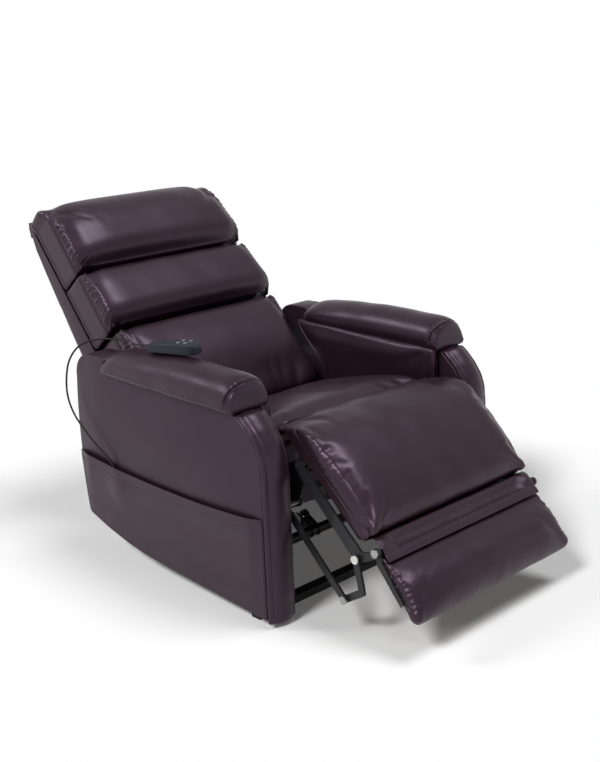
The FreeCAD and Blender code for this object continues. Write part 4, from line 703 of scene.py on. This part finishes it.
def calf_recipe(p):
    """Ruching fades away from the upper side edge; the edge stands out a little, over a valley at the side seam."""
    x, y, z = p[:, 0], p[:, 1], p[:, 2]
    side = ramp(np.abs(x), 0.250, 0.276)
    away = np.maximum(CALF_EDGE - np.abs(x), 0) + np.abs(z - 0.058)
    upper = ramp(y, -0.140, -0.080) * (1 - ramp(y, 0.02, 0.05))
    near = np.exp(-(away / 0.022) ** 2) * upper
    ruching = 0.0032 * gathers(y + 0.3 * z, 0.0135, 0.4) * near
    corner = 0.004 * fade(CALF_EDGE - 0.001 - np.abs(x), 0.020) * ramp(z, 0.050, 0.072)
    broad = 0.0012 * wave(x + 0.3 * y, 0.19, 0.9) * (1 - side)
    brow = 0.0016 * wave(x, 0.060, 2.1) * fade(y - 0.03, 0.030) * ramp(np.abs(x), 0.12, 0.26)
    valley = -0.0030 * side * fade(z - CALF_SEAM, 0.004)
    return ruching + corner + broad + brow + valley, y, near * 0.3


def calf_held(p):
    """Held underneath: below the calf's side seam, and for the roll that joins it to the seat, below its edge."""
    world = on_leg(p)
    return np.where(world[:, 1] > -0.045, 1 - ramp(world[:, 2], 0.415, 0.435), 1 - ramp(p[:, 2], 0.028, 0.042))


def foot_recipe(p):
    """Gathers on both ends, a crown along the middle, and a fuller tip."""
    x, y, z = p[:, 0], p[:, 1], p[:, 2]
    ends = ramp(np.abs(x), 0.262, 0.277)
    folds = 0.0026 * gathers(y + 0.7 * z, 0.017, 1.7) * ends
    along = (0.0006 * wave(x, 0.17, 0.8) + 0.006 * fade(y + 0.115, 0.050) * ramp(z, 0.0, 0.02)) * (1 - ends)
    tip = 0.010 * ramp(-y, 0.125, 0.172)
    return folds + along + tip + 0.003 * ends, y + 0.7 * z, ends * 0.4


def foot_held(p):
    """Held underneath, and at the heel where the flap lies on it."""
    return np.maximum(1 - ramp(p[:, 2], -0.02, 0.0), ramp(p[:, 1], -0.060, -0.042))


calf = cushion("calf_cover", ["calf_pad", "seat_front_roll"], None, LEG_FRAME, calf_held, 0.010, calf_recipe,
               spare=0.002, calm=4)
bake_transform(calf)
cushion("foot_cover", ["foot_pad"], "foot", FOOT_FRAME, foot_held, 0.012, foot_recipe, spare=0.004)

# %% [markdown]
# ## The flap between the footrest's two pads
# A strip of vinyl bridges the gap where the foot section folds. It is sewn under the calf pad, dips over the hinge
# and ends in a turned hem on the foot pad. Two profiles are mixed across it, one that sags between the hinges and one
# that rides up over their pins. A Solidify modifier gives the sheet its wall.

# %% Foot flap
FLAP_ROWS, FLAP_COLUMNS, FLAP_HALF = 64, 221, 0.2772


def walled(piece, thickness, offset):
    """Gives a sheet a wall: offset 0 grows it both ways, and -1 behind its face."""
    wall = piece.modifiers.new("wall", "SOLIDIFY")
    wall.thickness, wall.offset = thickness, offset
    settled(piece)
    facing_out(piece.data)
    shaded_smooth(piece.data)
    return piece


def flap_sheet():
    """Each row runs across; a is the way along the footrest from the fold, b the height over it. Both are the sagged
    profile's times the share between the pins plus the raised one's times the rest, with waves and a hem on b."""
    tucked = [(0.0470, -0.0270), (0.0400, -0.0110), (0.0340, 0.0030)]
    heel = [(-0.0165, 0.0094), (-0.0235, 0.0086), (-0.0335, 0.0078)]
    sagged = smooth_line(tucked + [(0.0270, 0.0080), (0.0190, 0.0052), (0.0110, 0.0036), (0.0030, 0.0040),
                                   (-0.0050, 0.0068), (-0.0110, 0.0098)] + heel, FLAP_ROWS)
    raised = smooth_line(tucked + [(0.0235, 0.0118), (0.0145, 0.0152), (0.0050, 0.0160), (-0.0035, 0.0142),
                                   (-0.0100, 0.0112)] + heel, FLAP_ROWS)
    across = np.linspace(-FLAP_HALF, FLAP_HALF, FLAP_COLUMNS)
    over_pins = ramp(np.abs(across), 0.215, 0.262)[None, :]
    a, b = (sagged[:, k, None] * (1 - over_pins) + raised[:, k, None] * over_pins for k in (0, 1))
    x = np.broadcast_to(across, a.shape)
    middle = fade(a - 0.010, 0.012)
    b = b + middle * 0.0012 * wave(x + 0.8 * a, 0.19, 0.3) - 0.004 * ramp(np.abs(x), 0.270, FLAP_HALF) * middle
    b = b + 0.0014 * fade(a + 0.0118, 0.0020) - 0.0018 * fade(a + 0.0160, 0.0018)
    return np.stack([x, a + FOLD_Y, b + FOLD_Z], axis=-1)


flap_points = on_leg(flap_sheet().reshape(-1, 3)).reshape(FLAP_ROWS, FLAP_COLUMNS, 3)
flap = walled(grid("flap_cover", flap_points), 0.0018, -1)
finish(flap, "vinyl")
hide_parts("foot_flap")
ends = on_leg(np.array([[0, FOLD_Y + 0.014, 0.058], [0, FOLD_Y - 0.014, 0.058]]))
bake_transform(flap)
print("flap_cover", len(flap.data.vertices), "points")

# %% [markdown]
# ## The arms' caps
# Each arm is a board box with leather stretched over it. Its top is a padded cap that overhangs the panel. At the
# front a crescent seam joins the cap's end to its top, and the leather puckers behind it. The cap's front is drawn
# back a little at the end, because the blown cover stands further out than the real one.

# %% Arm caps
CAP_MIDDLE = 0.353


def arm_recipe(sign):
    """The height for one cap. crescent is the way behind the seam, y less a parabola in x; the seam is a valley
    there, with puckers behind it and piping and a sunken face before it."""
    def recipe(p):
        x, y, z = sign * p[:, 0] - CAP_MIDDLE, p[:, 1], p[:, 2]
        crescent = y - (0.002 + 5.0 * x ** 2)
        above = ramp(z, 0.528, 0.548)
        behind = np.where(crescent > 0, fade(crescent, 0.013), 0) * above
        puckers = 0.0018 * gathers(x + 0.6 * z, 0.0105, sign) * behind
        seam = -0.0050 * fade(crescent, 0.0026) * above
        face = -0.0022 * (1 - ramp(crescent, -0.004, 0.002)) * above
        piping = 0.0024 * fade(crescent + 0.0060, 0.0026) * above
        outer_lip = 0.0022 * fade(z - 0.528, 0.0055) * ramp(x, 0.045, 0.060)
        inner_tuck = -0.004 * fade(z - 0.516, 0.020) * ramp(-x, 0.045, 0.060)
        top = 0.0009 * wave(y + 0.3 * x, 0.17, 1.2)
        return puckers + seam + face + piping + outer_lip + inner_tuck + top, x + 0.6 * z, 0.3 * behind
    return recipe


def arm_held(p):
    """Held below the cap's lower edge."""
    return 1 - ramp(p[:, 2], 0.537, 0.552)


for label, sign in (("right", -1), ("left", 1)):
    cap = cushion("arm_cap_" + label, ["arm_pad_" + label], "chair", CHAIR_FRAME, arm_held, 0.008, arm_recipe(sign),
                  fill=0.7, rounds=2, pressure=2.5)
    spot = read_points(cap.data)
    spot[:, 1] += 0.022 * (1 - ramp(spot[:, 1], -0.020, 0.070))
    write_points(cap.data, spot)

# %% [markdown]
# ## The arms' inner pads
# A thin pad lines each arm beside the sitter. Its upper edge bulges until it is flush under the cap, and its rear
# edge leans back with the chair's back, so it is sheared there.

# %% Inner arm pads
def inner_held(p):
    """Held on the side that lies on the arm's board."""
    return ramp(np.abs(p[:, 0]), 0.292, 0.300)


def inner_recipe(p):
    """Broad waves, and a bulge along the top of the side that faces the sitter."""
    x, y, z = p[:, 0], p[:, 1], p[:, 2]
    broad = 0.0012 * wave(y + 0.4 * z, 0.19, 1.0)
    flush = 0.008 * ramp(z, 0.42, 0.50) * (1 - ramp(np.abs(x), 0.296, 0.306))
    return broad + flush, z, np.zeros(len(p))


inner = cushion("inner_arm_covers", ["inner_arm_pads"], "chair", CHAIR_FRAME, inner_held, 0.004, inner_recipe,
                fill=0.4, pressure=1.5)
spot = read_points(inner.data)
spot[:, 1] += ramp(spot[:, 1], 0.33, 0.495) * 0.80 * (spot[:, 2] - 0.455)
spot[:, 2] += 0.004 * ramp(spot[:, 2], 0.495, 0.515)
write_points(inner.data, spot)

# %% [markdown]
# ## Panels
# The arms' boxes and the outside back are leather drawn tight over board, so they keep the CAD shape. Their edges are
# rounded a little, because leather never turns a sharp corner. The outside back's upper rim is then lowered and
# leaned forward, to lie under the head bustle's crown.

# %% Dress the panels
EDGE_ROUND, SHARP_ANGLE = 0.004, math.radians(30)


def dressed(name, node, body):
    """A CAD node with its flat faces merged and its edges rounded by a bevel."""
    piece = new_object(name, merged(node))
    flat = piece.modifiers.new("flat", "DECIMATE")
    flat.decimate_type, flat.angle_limit = "DISSOLVE", math.radians(0.5)
    settled(piece)
    edge = piece.modifiers.new("edge", "BEVEL")
    edge.width, edge.segments, edge.limit_method = EDGE_ROUND, 3, "ANGLE"
    edge.angle_limit, edge.use_clamp_overlap, edge.harden_normals = SHARP_ANGLE, True, False
    settled(piece)
    shaded_smooth(piece.data)
    piece.data.set_sharp_from_angle(angle=SHARP_ANGLE)
    finish(piece, slots[node])
    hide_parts(node)
    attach(piece, body)
    print(name, len(piece.data.vertices), "points")
    return piece


for node in ("arm_shell_right", "arm_shell_left"):
    dressed(node.replace("shell", "skin"), node, "chair")
back_skin = dressed("back_skin", "back_shell", "back")
spot = from_back(read_points(back_skin.data))
rim = ramp(spot[:, 2], 0.600, 0.664) * ramp(spot[:, 1], 0.062, 0.095)
spot[:, 2] -= 0.026 * rim
spot[:, 1] -= 0.012 * rim
write_points(back_skin.data, on_back(spot))

# %% [markdown]
# ## The side pocket
# The magazine pocket is one piece of leather sewn to the arm's side along its front, lower and rear edges. Its top
# hangs open in a shallow curve under a turned hem, so the sheet lies flat at the seams and stands off at the mouth.

# %% Side pocket
POCKET_FRONT, POCKET_REAR, ARM_SIDE = -0.0635, 0.6740, -0.4003
HEM_DEPTH = 0.0215


def pocket_sheet(columns=120, rows=64):
    """Columns run up the panel between its lower and upper outlines. Each point stands off the arm's side by a
    bulge that is 0 at the seams and full at the mouth, less a slack and a dent, plus the hem and room for the
    cord's boot."""
    share = np.linspace(0, 1, columns) ** 0.9
    y = POCKET_FRONT + share * 0.7365
    low = np.interp(y, (-0.064, 0.310, 0.410, 0.485, 0.559, 0.607, 0.655, 0.6632, 0.6732),
                    (0.0225, 0.0400, 0.0469, 0.0581, 0.0744, 0.0881, 0.104, 0.156, 0.2612))
    high = 0.2615 + 0.0180 * ((y - 0.300) / 0.370) ** 2
    up = 1 - (1 - np.linspace(0, 1, rows)[:, None]) ** 1.8
    z = low + (high - low) * up
    sewn = ramp(y - POCKET_FRONT, 0, 0.05) * ramp(POCKET_REAR - y, 0, 0.05) * ramp(z - low, 0, 0.05)
    mouth = 0.45 + 0.55 * ramp(up, 0.25, 0.85)
    dent = fade(z - 0.192 - 0.05 * (0.22 - y), 0.026) * fade(y - 0.20, 0.19)
    slack = 0.0012 * wave(y + 0.9 * z, 0.47, 0.8) + 0.0034 * dent
    hem = 0.0012 * ramp(high - z, 0.0220, 0.0190) - 0.0013 * fade(high - z - HEM_DEPTH, 0.0018)
    boot = 0.0052 * fade(y - 0.503, 0.040) * fade(z - 0.222, 0.045)
    stand = 0.0012 + sewn * (0.0080 * mouth - slack + boot) + hem * ramp(sewn, 0.02, 0.2)
    return np.stack([ARM_SIDE - stand, np.broadcast_to(y, z.shape), z], axis=-1)


pocket = walled(grid("pocket_skin", pocket_sheet()), 0.0012, 0)
finish(pocket, "leather_panel")
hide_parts("side_pocket")
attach(pocket, "chair")
spot = read_points(pocket.data)
print("pocket_skin from", spot.min(0).round(4), "to", spot.max(0).round(4))

# %% [markdown]
# ## Arm fronts
# Each arm's front is one long padded strip that runs up from the floor, turns with the arm and ends beside the cap.
# Its middle swells into a soft ridge and its two long seams lie in shallow valleys. It is too slim for cloth, so the
# even skin is only refined and pressed.

# %% Front bands
BAND_MIDDLE, BAND_SEAM = 0.360, 0.030


def band_recipe(p):
    """On the front face, a ridge that is a parabola between the seams, less a valley along each. Slow waves run all
    over."""
    x, y, z = np.abs(p[:, 0]) - BAND_MIDDLE, p[:, 1], p[:, 2]
    front = 1 - ramp(y + 0.20 * np.maximum(z - 0.383, 0), -0.066, -0.060) * (z < 0.38)
    seams = fade(np.abs(x) - BAND_SEAM, 0.0030) * (0.45 + 0.55 * ramp(z, 0.30, 0.40))
    ridge = 0.0035 * (1 - np.clip(np.abs(x) / BAND_SEAM, 0, 1) ** 2)
    slack = 0.0007 * wave(z + y, 0.090, 0.7)
    return (ridge - 0.0026 * seams) * front + slack, z + y, np.zeros(len(p))


bands = refined(remeshed(["arm_front_bands"], "arm_front_covers", 0.005))
press(bands, CHAIR_FRAME, band_recipe)
finish(bands, "leather")
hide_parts("arm_front_bands")
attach(bands, "chair")
print("arm_front_covers", len(bands.data.vertices), "points")

# %% [markdown]
# ## Floor
# A wide pale floor keeps the soft shadow. The lamps alone leave it a shade under white, so it adds the missing little
# glow of its own, but only for rays of the camera, of reflections and of glass: the chair gets no light from it.

# %% Floor
FLOOR_REACH, FLOOR_GLOW = 60, 0.075
ground = bpy.data.meshes.new("floor")
ground.from_pydata([(a * FLOOR_REACH, b * FLOOR_REACH, 0) for a, b in ((-1, -1), (1, -1), (1, 1), (-1, 1))],
                   [], [(0, 1, 2, 3)])
floor = new_object("floor", ground)


def seen_rays(tree):
    """1 for rays of the camera, of reflections and of glass, and 0 for the light that falls on the chair."""
    rays = make(tree, "ShaderNodeLightPath")
    mirrored = make(tree, "ShaderNodeMath", operation="MAXIMUM")
    link(tree, rays, "Is Glossy Ray", mirrored, 0)
    link(tree, rays, "Is Transmission Ray", mirrored, 1)
    either = make(tree, "ShaderNodeMath", operation="MAXIMUM")
    link(tree, rays, "Is Camera Ray", either, 0)
    link(tree, mirrored, "Value", either, 1)
    return either


paper, tree, shader = nodes_of("paper_floor")
shader.inputs["Base Color"].default_value = (0.95, 0.95, 0.95, 1)
shader.inputs["Roughness"].default_value = 0.9
shader.inputs["Specular IOR Level"].default_value = 0.0
shader.inputs["Emission Color"].default_value = (1, 1, 1, 1)
lift = make(tree, "ShaderNodeMath", operation="MULTIPLY")
lift.inputs[1].default_value = FLOOR_GLOW
link(tree, seen_rays(tree), "Value", lift, 0)
link(tree, lift, "Value", shader, "Emission Strength")
floor.data.materials.append(paper)

# %% [markdown]
# ## Surroundings and lamps
# The camera and the reflections see a white room whose ceiling is a little darker, which gives the leather its soft
# long highlights. The light itself is a faint even glow and three far, wide lamps.

# %% World and lamps
EVEN_GLOW = 0.06
world = bpy.data.worlds.new("studio")
bpy.context.scene.world = world
world.use_nodes = True
tree = world.node_tree
soft = tree.nodes["Background"]
soft.inputs["Color"].default_value = (1, 1, 1, 1)
soft.inputs["Strength"].default_value = EVEN_GLOW
direction = make(tree, "ShaderNodeTexCoord")
height = make(tree, "ShaderNodeSeparateXYZ")
link(tree, direction, "Generated", height, 0)
ceiling = make(tree, "ShaderNodeMapRange", interpolation_type="SMOOTHSTEP", From_Min=0.08, From_Max=0.45,
               To_Min=1.0, To_Max=0.58)
link(tree, height, "Z", ceiling, "Value")
white = make(tree, "ShaderNodeBackground", Color=(1, 1, 1, 1))
link(tree, ceiling, "Result", white, "Strength")
pick = make(tree, "ShaderNodeMixShader")
link(tree, seen_rays(tree), "Value", pick, 0)
link(tree, soft, "Background", pick, 1)
link(tree, white, "Background", pick, 2)
link(tree, pick, "Shader", tree.nodes["World Output"], "Surface")


def lamp(name, toward, strength, angle):
    """A far soft lamp: parallel light along a direction, from a disc as wide as the angle in degrees."""
    light = bpy.data.lights.new(name, "SUN")
    light.energy, light.angle = strength, math.radians(angle)
    thing = new_object(name, light)
    thing.rotation_euler = Vector(toward).to_track_quat("-Z", "Y").to_euler()
    return thing


lamps = [lamp("key", (1.0, 0.12, -1.05), 1.85, 14),
         lamp("top", (-0.25, 0.25, -1.0), 1.25, 24),
         lamp("rear_left", (0.75, -0.9, -0.9), 0.6, 14)]
bpy.context.scene.view_settings.view_transform = "Standard"
print("lamps:", [thing.name for thing in lamps])
